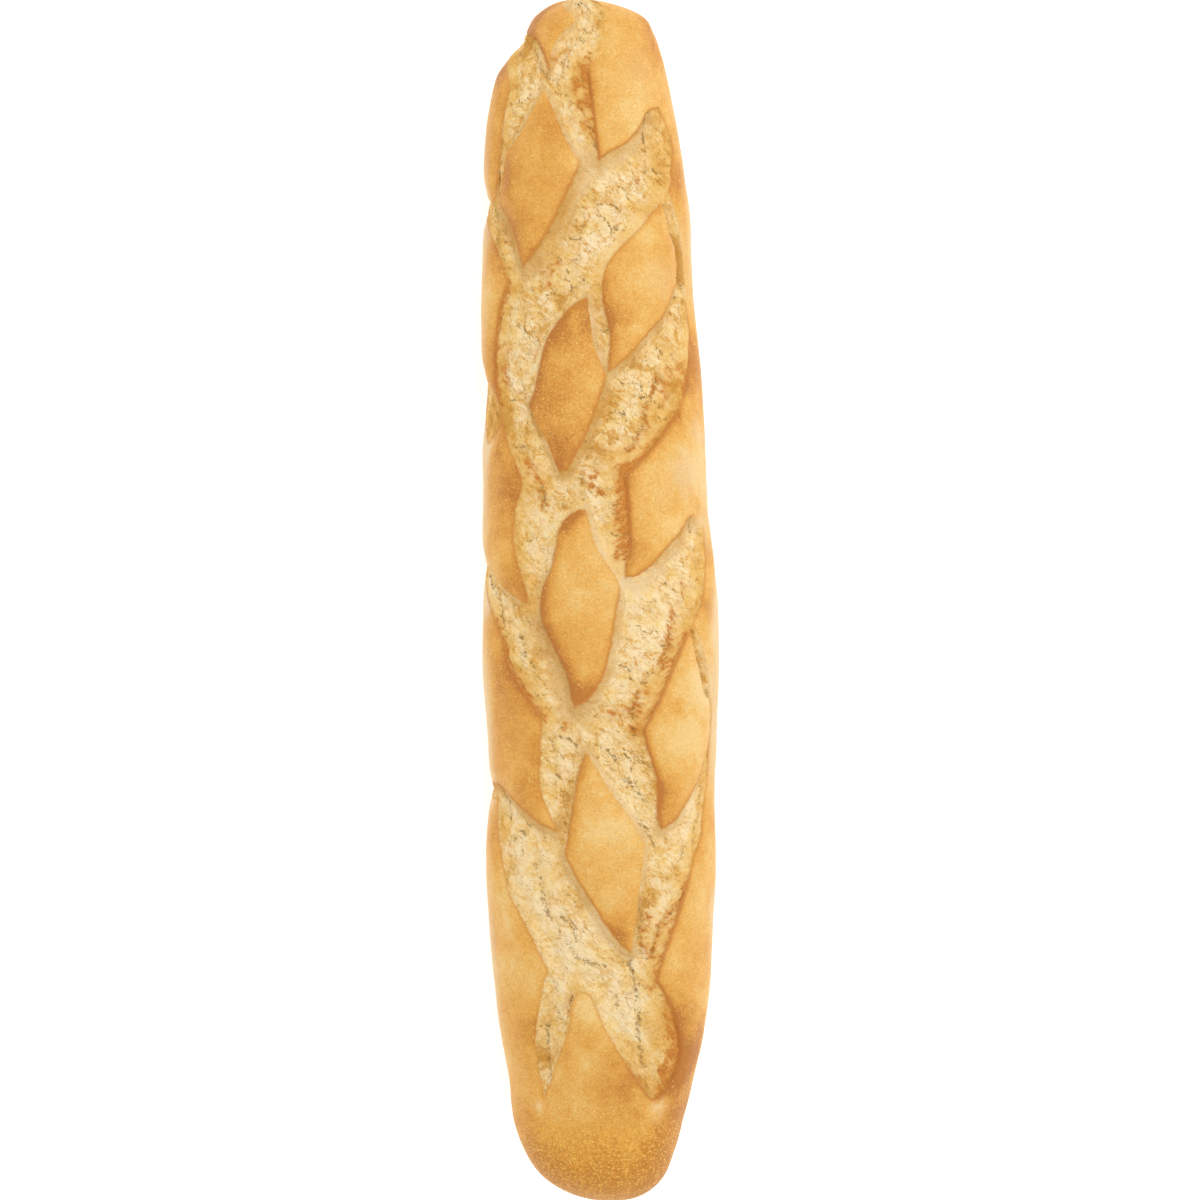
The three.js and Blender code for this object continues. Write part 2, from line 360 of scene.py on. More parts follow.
relief = {
    "crumbReach": 80,  # round from the ridge, beyond which the loaf is all crust
    "seen": 14,  # edges further off than this don't matter
    "edgeBlend": 1.2,  # how far the kind of one edge runs over into the next
    "leanReach": 4,  # how far off the edges decide which way the strands slant
    "ragged": (3.5, 0.5),  # size and strength of the unevenness of wall, gold and toast
    "waver": (2.2, 0.25),  # the same for the edge itself
    "crumbEdge": (-0.6, 0.15),  # where crust turns to crumb
    "slashFade": 14,  # the slashes fade out where the loaf is narrower than this, half across
    "flankFade": (pi / 2 + 0.15, pi / 2 + 0.55),  # and between these turns, under the widest line
    "padDrop": 1.1,  # how far a pad curves down to its edge
    "padRim": 7,
    "stillFalling": 0.12,  # how steeply the crumb goes on falling in a wide slash
    "deepest": 9,  # it never falls further than this
    "swell": 1.2,  # how far the crumb rises again in the middle of a wide slash
    "swellReach": (3, 10),
    "creaseDepth": 0.7,
    "crease": (-0.35, 0.6),  # where it lies across the edge, and its width
    "lip": (1.4, 1.1),  # the same for the lip beside it
    "lipHeight": 0.2,
    "overhang": (0.5, 0.7),  # and for the part of the lip that leans over the crumb
    "overhangReach": 0.4,
    "smoothWall": 0.7,  # how much smoother a pale wall is than torn crumb
    "smoothGold": 0.3,
    "calmLumps": 0.3,  # this share of the lumps is left where the crumb is smooth
    "lump": (7, 0.7),  # size and height
    "grain": (1, 0.12),
    "wave": (22, 0.35),  # the slow unevenness of the crust
    "slant": 32 * pi / 180,  # the torn strands run this far from straight across
    "tearDepth": 0.4,
}


def padSides(pad):
    # the sides of a pad as curves, each running on to where the next one starts
    starts = [side[1] for side in pad[1:]] + [pad[0][1]]
    return [(side[0], curveThrough([*side[1:], end])) for side, end in zip(pad, starts)]


def areaOf(outline):
    x, y = outline.T
    return 0.5 * np.sum(x * np.roll(y, -1) - np.roll(x, -1) * y)


def insideOf(outline, x, y):
    inside = np.zeros(len(x), bool)
    for (x1, y1), (x2, y2) in zip(outline, np.roll(outline, -1, axis=0)):
        if y1 != y2:
            inside ^= ((y1 > y) != (y2 > y)) & (x < x1 + (y - y1) / (y2 - y1) * (x2 - x1))
    return inside


def crumbFall(edge, off):
    # how deep the crumb lies at a distance from one edge
    start, reach, depth = edge["fall"]
    falling = start + (depth - start) * smooth(0, reach, off)
    return falling + np.maximum(off - reach, 0) * relief["stillFalling"]


def bandBeside(name, edge, off, inside, ragged):
    # how much of a wall, golden skin, toasted rim or brown rim shows at a distance from one edge
    reach, strength = edge[name]
    if name == "rim":
        return (1 - smooth(0, 1.2, off / reach)) ** 1.5 * strength * inside
    return (1 - smooth(0.3, 1.2, off / reach / ragged)) * strength * ~inside


def readPads(around, along):
    # what lies at each place: signed distance into the crust, and how the nearest edges are
    count = len(around)
    crust = np.abs(around) > relief["crumbReach"]
    nearest = np.full(count, float(relief["seen"]))
    fall = np.full(count, float(relief["deepest"]))
    weights, leanSum = np.zeros(count), np.zeros(count)
    nearby = {name: np.zeros(count) for name in ("crease", "dark", "line", "faceX", "faceY")}
    bands = {name: np.zeros(count) for name in ("wall", "gold", "toast", "rim")}
    raggedSize, raggedness = relief["ragged"]
    ragged = 1 + raggedness * layered(around, along, raggedSize, 91)
    for pad in pads.values():
        sides = padSides(pad)
        outline = np.concatenate([curve[:-1] for _, curve in sides])
        inside = insideOf(outline, around, along)
        crust |= inside
        turned = np.sign(areaOf(outline))
        for kind, curve in sides:
            if kind == "open":
                continue
            edge = edges[kind]
            off = distanceTo(curve, around, along, relief["seen"])
            nearest = np.minimum(nearest, off)
            fall = np.minimum(fall, crumbFall(edge, off))
            weight = np.exp(-off / relief["edgeBlend"])
            weights += weight
            way = (curve[-1] - curve[0]) / np.linalg.norm(curve[-1] - curve[0])
            here = {"crease": edge["crease"], "dark": edge["dark"], "line": edge["line"],
                    "faceX": way[1] * turned, "faceY": -way[0] * turned}
            for name, value in here.items():
                nearby[name] += weight * value
            leanSum += np.exp(-off / relief["leanReach"]) * np.sign(way[0] * way[1])
            for name in set(bands) & set(edge):
                bands[name] = np.maximum(bands[name], bandBeside(name, edge, off, inside, ragged))
    nearby = {name: value / (weights + 1e-9) for name, value in nearby.items()}
    return {"signed": np.where(crust, nearest, -nearest), "fall": fall,
            "lean": smooth(-0.35, 0.35, leanSum), **nearby, **bands}


def sphereBlank():
    # a ball with its poles at the tips
    bpy.ops.object.select_all(action="DESELECT")
    bpy.ops.mesh.primitive_uv_sphere_add(
        segments=loaf["segments"], ring_count=loaf["rings"], radius=1, rotation=(-pi / 2, 0, 0))
    blank = bpy.context.object
    blank.name = "crustAndCrumb"
    bpy.ops.object.transform_apply(location=False, rotation=True, scale=False)
    return blank


def readVertices(piece):
    spots = np.empty(len(piece.data.vertices) * 3)
    piece.data.vertices.foreach_get("co", spots)
    return spots.reshape(-1, 3)


def placesOf(spots):
    # the turn round the loaf and the place along it of points on the ball
    spots = spots / np.linalg.norm(spots, axis=1)[:, None]
    crowded = 2 * loaf["endRings"] / loaf["rings"]
    share = np.arccos(np.clip(np.abs(spots[:, 1]), 0, 1)) / (pi / 2)
    covered = np.where(share < crowded, share ** 2 / (2 * crowded), share - crowded / 2)
    along = np.sign(spots[:, 1]) * loaf["length"] / 2 * (1 - covered / (1 - crowded / 2))
    turn = np.arctan2(spots[:, 0], spots[:, 2])
    crownTurn = loaf["crownSegments"] / loaf["segments"] * pi
    spread = np.abs(turn)
    over = spread / crownTurn * pi / 2
    under = pi / 2 * (1 + (spread - crownTurn) / (pi - crownTurn))
    return np.sign(turn) * np.where(spread < crownTurn, over, under), along


def refineSlashes(blank):
    # finer faces where the crumb and its edges are
    mesh = blank.data
    turn, along = placesOf(readVertices(blank))
    signed = readPads(turn * loaf["aroundScale"], along)["signed"]
    wanted = (signed < loaf["finerCrust"]) & (np.abs(turn) < loaf["finerTurn"])
    bpy.ops.object.mode_set(mode="EDIT")
    bpy.ops.mesh.select_mode(type="FACE")
    bpy.ops.mesh.select_all(action="DESELECT")
    bpy.ops.object.mode_set(mode="OBJECT")
    corners = np.empty(len(mesh.loops), int)
    mesh.loops.foreach_get("vertex_index", corners)
    starts = np.empty(len(mesh.polygons), int)
    mesh.polygons.foreach_get("loop_start", starts)
    chosen = np.logical_or.reduceat(wanted[corners], starts)
    mesh.polygons.foreach_set("select", chosen)
    bpy.ops.object.mode_set(mode="EDIT")
    bpy.ops.mesh.subdivide(number_cuts=1)
    bpy.ops.object.mode_set(mode="OBJECT")
    triangles = sum(len(polygon.vertices) - 2 for polygon in mesh.polygons)
    print("finer faces:", int(chosen.sum()), "split,", triangles, "triangles in all")


# Ragged lines in the crumb, where it tore, from the top end down: how dark the painted shade in them
# is, how toasted beside them, and the places they run by.
tears = [
    (0.5, 0.0, (6, 190), (4, 188)), (0.5, 0.1, (-1, 188), (-1, 182), (-2, 176)),
    (0.5, 0.1, (-10, 182), (-10, 177)), (0.7, 0.1, (-25, 180), (-23, 176), (-15, 172), (-12, 171)),
    (0.9, 0.0, (31, 162), (28, 157), (28, 151)), (0.9, 0.2, (3, 156), (5, 149)),
    (1.0, 0.6, (-38, 152), (-38.5, 147), (-39.5, 141), (-40.5, 134)), (0.4, 0.1, (18, 144), (20, 140)),
    (0.6, 0.4, (20, 139), (21, 135), (21, 131)), (0.6, 0.0, (10, 138), (15, 135), (16, 132)),
    (0.9, 0.1, (-44, 130), (-43, 124), (-41, 118)),
    (1.0, 0.2, (33, 130), (36, 123), (39, 117), (41, 110), (43, 104)),
    (0.7, 0.4, (-2, 129), (-1, 124), (-3, 120)), (0.5, 0.3, (13, 126), (11, 122), (8, 116)),
    (0.6, 0.0, (1, 121), (6, 121)), (0.6, 0.3, (-6, 116), (-3, 112), (-9, 110)),
    (0.3, 0.8, (-12, 110), (-14, 107), (-15, 103)), (0.4, 0.1, (-10, 101), (-4, 103)),
    (0.7, 0.0, (41, 98), (42, 95)), (0.3, 0.0, (-20, 93), (-16, 92)), (0.5, 0.5, (-19, 84), (-21, 79)),
    (0.5, 0.3, (32, 83), (34, 79)),
    (0.8, 0.9, (25, 74), (22, 67), (19, 63), (18, 58), (15, 53), (12, 49)),
    (0.7, 0.7, (27, 73), (28, 69)), (0.6, 0.0, (14, 67), (17, 67)),
    (0.8, 0.1, (-25, 64), (-23, 61), (-20, 58)), (0.6, 0.0, (6, 61), (9, 61)),
    (0.6, 0.2, (-28, 49), (-26, 47)), (0.4, 0.6, (12, 49), (10, 45), (7, 43)),
    (0.3, 0.8, (-25, 46), (-21, 41), (-19, 37)), (0.7, 0.0, (-5, 42), (-4, 37), (-4, 33)),
    (0.4, 0.9, (0, 42), (-1, 38), (0, 36), (3, 35)), (0.8, 0.7, (-19, 37), (-18, 33), (-18, 30)),
    (0.5, 0.1, (-13, 37), (-8, 37), (-6, 40)), (0.8, 0.1, (5, 31), (7, 27)),
    (0.9, 0.0, (38, 27), (40, 22)), (0.4, 0.2, (-15, 18), (-15, 12)), (0.5, 0.0, (37, 18), (39, 12)),
    (0.5, 0.6, (31, 6), (30, 2), (26, -4)), (0.8, 0.1, (-46, 4), (-41, -1), (-38, -8), (-36, -12)),
    (0.2, 0.8, (26, -4), (24, -9)), (0.5, 0.4, (-24, -5), (-22, -12)), (0.8, 0.0, (34, -10), (36, -16)),
    (0.7, 1.0, (24, -11), (23, -17), (21, -22)), (0.5, 0.0, (-29, -17), (-28, -23)),
    (0.7, 0.0, (38, -18), (42, -26), (46, -34)), (0.6, 0.6, (20, -23), (16, -24), (14, -26)),
    (0.5, 0.0, (-12, -30), (-10, -31)), (0.9, 0.9, (12, -30), (11, -35), (10, -40), (11, -44)),
    (0.5, 0.0, (-18, -36), (-15, -35)), (0.6, 0.0, (-4, -38), (-1, -35)), (0.2, 0.7, (3, -38), (8, -36)),
    (0.3, 0.8, (-14, -41), (-11, -42)), (0.5, 0.0, (7, -52), (9, -58)),
    (0.7, 0.4, (43, -58), (42, -66), (39, -73), (36, -80)), (0.8, 0.0, (8, -59), (12, -62), (17, -68)),
    (0.8, 0.3, (-44, -62), (-40, -66), (-38, -73)), (0.8, 0.1, (13, -72), (17, -77), (19, -81)),
    (0.9, 0.0, (-34, -79), (-32, -76), (-29, -77)), (0.7, 0.0, (-30, -79), (-29, -84)),
    (0.5, 0.4, (-37, -80), (-36, -86), (-34, -90)), (0.7, 0.2, (32, -81), (30, -85), (28, -90)),
    (0.7, 0.0, (-25, -87), (-23, -88), (-21, -83)),
    (0.9, 0.0, (-22, -91), (-21, -96), (-20, -101), (-18, -105)),
    (0.7, 0.9, (31, -97), (27, -102), (23, -105), (20, -109), (18, -117)),
    (0.7, 0.2, (13, -98), (14, -104), (13, -111)), (0.9, 0.0, (-14, -104), (-10, -107), (-9, -111)),
    (0.3, 0.8, (17, -104), (16, -108)), (0.9, 0.0, (-12, -112), (-9, -117), (-4, -119), (1, -120)),
    (0.3, 0.0, (-18, -113), (-15, -112)), (0.2, 0.8, (15, -113), (16, -115)),
    (1.0, 0.1, (10.5, -116), (10.5, -121), (13, -131), (14, -137), (14, -142), (15.5, -148), (17.5, -153)),
    (0.4, 0.0, (-2, -124), (3, -123)), (0.6, 0.1, (-18, -125), (-17, -130)),
    (0.9, 0.7, (-11, -130), (-12, -135)), (0.7, 0.0, (4, -130), (7, -136)),
    (0.7, 0.2, (-18, -134), (-15, -139)), (1.0, 0.3, (-22, -140), (-22.5, -146), (-23.5, -151)),
    (0.9, 0.2, (-22, -153), (-22, -158), (-23, -163)), (0.6, 0.3, (19, -157), (21, -163)),
]

tearing = {
    "wander": (2.5, 0.8),  # how long and how wide the lines stray from their places
    "broken": (2.2, 0.65, 0.9),  # the toast beside them comes and goes: size, middle and strength
    "darkReach": 2,
    "toastReach": 3.2,
    "seen": 4,
}


def nearTears(around, along):
    # how torn and how toasted the crumb is by the lines of tears: 1 on a line, 0 at a few millimetres
    torn, stained = np.zeros(len(around)), np.zeros(len(around))
    wanderSize, wanderReach = tearing["wander"]
    wander = wanderReach * layered(around, along, wanderSize, 31)
    brokenSize, middle, strength = tearing["broken"]
    broken = np.clip(middle + strength * layered(around, along, brokenSize, 37), 0, 1)
    for dark, toasted, *places in tears:
        off = distanceTo(curveThrough(places), around + wander, along - wander, tearing["seen"])
        torn = np.maximum(torn, dark * (1 - smooth(0, tearing["darkReach"], off)))
        stained = np.maximum(stained, toasted * (1 - smooth(0, tearing["toastReach"], off)))
    return torn, stained * broken


# The torn crumb is laid over with thin flakes, one on another, each standing up at one side. Half lengths
# and widths.
flakes = {
    "ragged": (1.3, 0.4),  # size and strength
    "spread": 0.4,  # how far they turn off the strands, in radians
    "upperSide": 0.65,  # this share stands up at the side towards the top end
    # The gap is a painted shadow beside a flake's raised edge.
    "gapShadow": 0.55,  # width of the dark gap beside some of them
    "gapDarkness": (0.4, 1),
    "standing": (0.4, 1),  # share of the full rise
    # Painted light: the side of a flake that stands up is drawn lighter.
    "raisedSideLight": 0.3,  # how much lighter the side that stands up is
    "rim": (0.55, 1),  # where its golden rim starts and ends, as shares of the way out
    "gapSide": 0.3,  # gaps and rims show from here on towards the side that stands up
    "rimSide": -0.2,
    "overCrust": 0.2,  # how far out on the crust one may start
    "searched": 1.4,  # nothing of it lies further off than this many half lengths
    "kinds": [
        {"count": 5600, "length": (1.2, 3.8), "width": (0.7, 1.9), "rise": 0.6, "shade": (-1, 0.9),
         "gapped": 0.12, "inside": 0},
        {"count": 520, "length": (2, 4.2), "width": (1.4, 2.7), "rise": 0.8, "shade": (0.2, 1.3),
         "gapped": 0.3, "inside": 3.5},
    ],
}


def layFlakes(around, along, skin):
    # the height and shade of the flakes, with painted light on the side that stands up, and their golden
    # rims and the painted shadow in the gaps beside them
    dice = np.random.default_rng(11)
    order = np.argsort(along)
    x, y = around[order], along[order]
    raggedSize, raggedness = flakes["ragged"]
    ragged = raggedness * layered(x, y, raggedSize, 41, 2)
    signed, lean = skin["signed"][order], skin["lean"][order]
    sides = (1 - flakes["upperSide"], flakes["upperSide"])
    laid = {name: np.zeros(len(x)) for name in ("height", "shade", "rim", "gapShadow")}
    for kind in flakes["kinds"]:
        places = np.flatnonzero(signed < flakes["overCrust"] - kind["inside"])
        for middle in dice.choice(places, kind["count"]):
            long, wide = dice.uniform(*kind["length"]), dice.uniform(*kind["width"])
            side = dice.choice((-1, 1), p=sides)
            angle = relief["slant"] * (2 * lean[middle] - 1) + dice.normal(0, flakes["spread"])
            reach = flakes["searched"] * long
            first, last = np.searchsorted(y, (y[middle] - reach, y[middle] + reach))
            near = first + np.flatnonzero(np.abs(x[first:last] - x[middle]) < reach)
            dx, dy = x[near] - x[middle], y[near] - y[middle]
            run = (dx * np.cos(angle) + dy * np.sin(angle)) / long
            across = side * (dy * np.cos(angle) - dx * np.sin(angle)) / wide
            off = np.hypot(run, across) + ragged[near]
            beside = (off > 1) & (off < 1 + flakes["gapShadow"] / wide) & (across > flakes["gapSide"])
            gapped = dice.random() < kind["gapped"]
            laid["gapShadow"][near[beside]] = dice.uniform(*flakes["gapDarkness"]) if gapped else 0
            near, across, off = near[off < 1], across[off < 1], off[off < 1]
            laid["gapShadow"][near] = 0
            standing = dice.uniform(*flakes["standing"])
            laid["height"][near] = kind["rise"] * (0.5 + 0.5 * across) * standing
            laid["shade"][near] = dice.uniform(*kind["shade"]) + flakes["raisedSideLight"] * across
            rimmed = across > flakes["rimSide"]
            laid["rim"][near] = dice.random() * smooth(*flakes["rim"], off) * rimmed
    back = np.argsort(order)
    return {name: values[back] for name, values in laid.items()}


# Places where the crumb is smoother: around, along, radius and how much.
calmSpots = [
    (30, 125, 14, 0.4), (-16, 22, 10, 0.4), (10, 2, 16, 0.35), (44, -20, 20, 0.3), (-34, -72, 14, 0.3),
    (28, -76, 16, 0.3), (-26, -96, 26, 0.45), (-10, -118, 16, 0.45), (2, -138, 15, 0.8),
    (21, -140, 14, 0.75), (-20, -145, 15, 0.5),
]


def readSkin(around, along):
    # all that the skin is at each place: the edges near it, and the crumb's flakes, lumps and tears
    skin = readPads(around, along)
    laid = layFlakes(around, along, skin)
    waverSize, waver = relief["waver"]
    edge = skin["signed"] + waver * noise(around / waverSize, along / waverSize, 3)
    crumb = 1 - smooth(*relief["crumbEdge"], edge)
    rough = 1 - np.maximum(relief["smoothWall"] * skin["wall"], relief["smoothGold"] * skin["gold"])
    rough *= 1 - spotted(calmSpots, around, along)
    lumpSize, lumpHeight = relief["lump"]
    grainSize, grainHeight = relief["grain"]
    lumps = layered(around, along, lumpSize, 21, 2)
    grain = layered(around, along, grainSize, 27, 2)
    lumpShare = relief["calmLumps"] + (1 - relief["calmLumps"]) * rough
    heights = rough * laid["height"] + lumpShare * lumpHeight * lumps + grainHeight * grain
    torn, stained = nearTears(around, along)
    return {**skin, "edge": edge, "crumb": crumb, "rough": rough, "lumps": lumps, "heights": heights,
            "torn": torn * crumb, "stained": stained, "shade": laid["shade"],
            "gilt": rough * laid["rim"], "gapShadow": rough * crumb * laid["gapShadow"]}


def slashFade(turn, along):
    # 1 where the slashes are at their full depth, 0 at the tips and under the loaf
    half = sizesAt(along)[0]
    return smooth(0, relief["slashFade"], half) * (1 - smooth(*relief["flankFade"], np.abs(turn)))


def shapeSkin(turn, along, skin, fade):
    # where each point of the ball goes on the loaf, in millimetres
    spots, outwards, sideways = roundOf(turn, along)
    edge, crease = skin["edge"], skin["crease"]
    around = turn * loaf["aroundScale"]
    drop = relief["padDrop"] * (1 - smooth(0, relief["padRim"], edge)) ** 1.5
    swell = relief["swell"] * smooth(*relief["swellReach"], -edge) * (1 - 0.6 * skin["wall"])
    slump = skin["crumb"] * (skin["fall"] - swell - skin["heights"]) + relief["tearDepth"] * skin["torn"]
    groove = relief["creaseDepth"] * crease * hump(*relief["crease"], edge)
    lip = relief["lipHeight"] * crease * hump(*relief["lip"], edge)
    waveSize, waveHeight = relief["wave"]
    wave = waveHeight * layered(around, along, waveSize, 71)
    sink = fade * (drop + slump + groove - lip - wave)
    lean = fade * relief["overhangReach"] * crease * hump(*relief["overhang"], edge)
    spots = spots - outwards * sink[:, None] + sideways * (lean * skin["faceX"])[:, None]
    spots[:, 1] += lean * skin["faceY"]
    spots[:, 2] += loafLow[2] - spots[:, 2].min()
    return spots


# How brown the crust is, along the loaf at its ridge.
browning = [
    (-200, 2.3), (-195, 2.0), (-188, 1.4), (-180, 0.9), (-170, 0.55), (-145, 0.4), (-130, 0.15),
    (-110, 0.35), (-85, 0.2), (-55, 0.3), (-35, 0.5), (-10, 0.25), (20, 0.2), (45, 0.6), (70, 0.55),
    (95, 0.4), (125, 0.5), (150, 0.4), (170, 0.2), (190, 0.35), (200, 0.5),
]

# How pale the flanks are, along the loaf.
flankPaleness = {
    "left": [
        (-200, 0), (-170, 0.1), (-150, 0.5), (-110, 0.9), (-92, 0.7), (-80, 0.5), (-62, 0.8), (-40, 1.1),
        (-22, 1), (-10, 0.6), (2, 1.2), (18, 0.9), (50, 1), (68, 0.2), (85, 0.7), (105, 0.8), (140, 0.7),
        (165, 0.4), (185, 0), (200, 0),
    ],
    "right": [
        (-200, 0), (-140, 0.1), (-110, 0.6), (-85, 0.2), (-65, 0.5), (-50, 1), (-28, 1), (0, 0.8),
        (12, 0.4), (25, 0.6), (50, 0.5), (68, 0.1), (84, 0), (100, 0.6), (130, 0.6), (155, 0.5),
        (180, 0.3), (200, 0),
    ],
}

# Places in the crust that baked browner, or stayed paler where the strength is below 0, from the top end
# down: around, along, radius and strength.
crustSpots = [
    (-46, 190, 14, 0.5), (-10, 190, 6, -0.2), (-18, 188, 9, 0.1), (45, 184, 20, 0.45), (25, 180, 14, 0.2),
    (-50, 178, 12, 0.6), (-46, 168, 10, 0.2), (-15, 160, 8, 0.4), (24, 160, 12, -0.1),
    (-10, 155, 10, 0.35), (51, 155, 9, 0.25), (-50, 150, 10, 0.2), (46, 142, 11, 0.45),
    (-2, 141, 5, -0.3), (-33, 140, 8, 0.25), (22, 122, 8, -0.15), (-44, 120, 12, 0.1),
    (-30, 120, 9, 0.25), (40, 120, 6, -0.2), (-22, 112, 7, 0.2), (21, 105, 8, -0.2), (8, 104, 5, 0.3),
    (-43, 98, 12, -0.35), (9, 94, 8, 0.5), (2, 92, 8, 0.65), (-10, 88, 7, 0.5), (-20, 80, 7, 0.3),
    (48, 78, 13, 0.6), (39, 73, 8, 0.6), (-54, 70, 5, 0.3), (-18, 70, 6, -0.15), (-17, 70, 12, 0.35),
    (-50, 50, 9, -0.4), (-31, 50, 6, -0.3), (-12, 50, 9, 0.35), (44, 46, 13, -0.4), (-12.5, 44, 4, 0.6),
    (27, 38, 12, -0.25), (-36, 35, 8, 0.2), (-10, 28, 7, 0.8), (50, 15, 8, 0.35), (16, 12, 9, 0.35),
    (-32, 5, 10, 0.4), (-20, 2, 8, 0.3), (46, -2, 10, 0.4), (-46, -10, 9, 0.2), (-6, -14, 13, 0.2),
    (-36, -25, 11, 0.25), (37, -28, 12, -0.55), (-4, -31, 7, 0.5), (-50, -32, 12, -0.2),
    (32, -46, 12, -0.35), (-22, -50, 6, 0.3), (-11, -62, 5, -0.2), (20, -63, 9, 0.5),
    (-27, -64, 10, 0.25), (24, -69, 9, 0.35), (50, -74, 10, 0.3), (0, -76, 9, -0.2), (36, -76, 12, 0.4),
    (-45, -80, 10, 0.2), (-36, -100, 16, -0.45), (-30, -100, 8, 0.3), (4, -109, 8, 0.6),
    (-30, -110, 7, -0.15), (44, -118, 14, 0.3), (-36, -122, 13, -0.2), (30, -130, 14, 0.15),
    (30, -133, 9, 0.35), (-8, -134, 7, -0.15), (34, -138, 11, 0.6), (-26, -140, 6, 0.1),
    (-23, -141, 3, 0.6), (-5, -150, 16, -0.1), (42, -150, 16, 0.8), (-48, -152, 14, -0.3),
    (-22, -152, 9, -0.25), (-6, -152, 9, -0.3), (4, -153, 6, 0.25), (36, -157, 9, 0.9),
    (0, -160, 10, 0.3), (10, -160, 8, 0.4), (-6, -166, 10, -0.12), (17, -168, 6, 0.25),
    (-22, -172, 12, -0.2), (44, -176, 20, 0.7), (-5, -184, 12, -0.25), (38, -191, 19, 2.1),
    (0, -192, 16, 0.4), (-36, -193, 15, 1.5),
]

# Creamy places in the crust.
creamSpots = [
    (28, 175, 16, 0.35), (24, 152, 9, 0.25), (39, 120, 8, 0.5), (29, 106, 12, 0.4), (42, 56, 8, 0.4),
    (-50, 50, 8, 0.3), (35, 42, 13, 0.6), (24, 34, 9, 0.3), (42, 22, 9, 0.5), (-52, 2, 7, 0.3),
    (50, -8, 12, 0.3), (38, -28, 13, 0.4), (30, -42, 9, 0.25), (50, -100, 8, 0.3),
]

# Pale scars in the crust: around, along, radius.
scars = [(-27.5, -167, 3), (27, -167, 5), (34, 131.5, 2)]

# How much each of these turns the crust browner or paler, and where, round from the ridge.
baking = {
    "everywhere": 0.1,
    "ridge": 0.6,  # of browning
    "left": 0.22,
    "leftReach": ((-35, 0), (-95, -65)),  # from where on, and back to nothing under the loaf
    "right": -0.04,
    "rightReach": (4, 24),
    "rims": 0.7,
    "paleFlank": 0.5,  # how much of all that a pale flank takes away
    "underside": 0.55,
    "undersideReach": (pi / 2, pi / 2 + 0.6),  # turns
    "patch": (14, 0.16, 5),  # size, strength, and how far patches push the end of the pale flank about
    "patchEnd": (90, 112),
    "flankStart": (37, 58),
    "flankEnd": (50, 84),
    "flankLost": 0.75,
    "grain": 0.3,  # fine pale grain, more of it on the foot and round one place
    "grainFoot": 0.7,
    "grainFootReach": (-155, -182),
    "grainSpot": (-12, 70, 10, 60),  # around, along, and where its border starts and ends
}


def crustLooks(turn, along, skin, fade):
    # how brown, how creamy and how grainy the crust is, and its scars
    around = turn * loaf["aroundScale"]
    patchSize, patchBrown, patchPush = baking["patch"]
    patchy = layered(around, along, patchSize, 81) * (1 - smooth(*baking["patchEnd"], np.abs(around)))
    leftPale, rightPale = (follow(flankPaleness[side], along) for side in ("left", "right"))
    flank = smooth(*baking["flankStart"], np.abs(around)) * np.where(around < 0, leftPale, rightPale)
    flankEnd = smooth(*baking["flankEnd"], np.abs(around) + patchPush * patchy)
    flank *= 1 - baking["flankLost"] * flankEnd

    leftStart, leftEnd = baking["leftReach"]
    left = (1 - smooth(*leftStart, around)) * smooth(*leftEnd, around)
    brown = baking["ridge"] * follow(browning, along) + baking["left"] * left
    brown += baking["right"] * smooth(*baking["rightReach"], around) + patchBrown * patchy
    brown = brown * (1 - baking["paleFlank"] * flank) + spotted(crustSpots, around, along)
    brown += baking["rims"] * skin["rim"] * fade + baking["everywhere"]
    brown += baking["underside"] * smooth(*baking["undersideReach"], np.abs(turn))

    spotAround, spotAlong, grainStart, grainEnd = baking["grainSpot"]
    fromSpot = np.hypot(around - spotAround, along - spotAlong)
    grainy = baking["grain"] * (1 + smooth(grainEnd, grainStart, fromSpot))
    grainy += baking["grainFoot"] * smooth(*baking["grainFootReach"], along)
    return {"brown": brown, "cream": flank + spotted(creamSpots, around, along), "grainy": grainy,
            "scar": spotted(scars, around, along)}


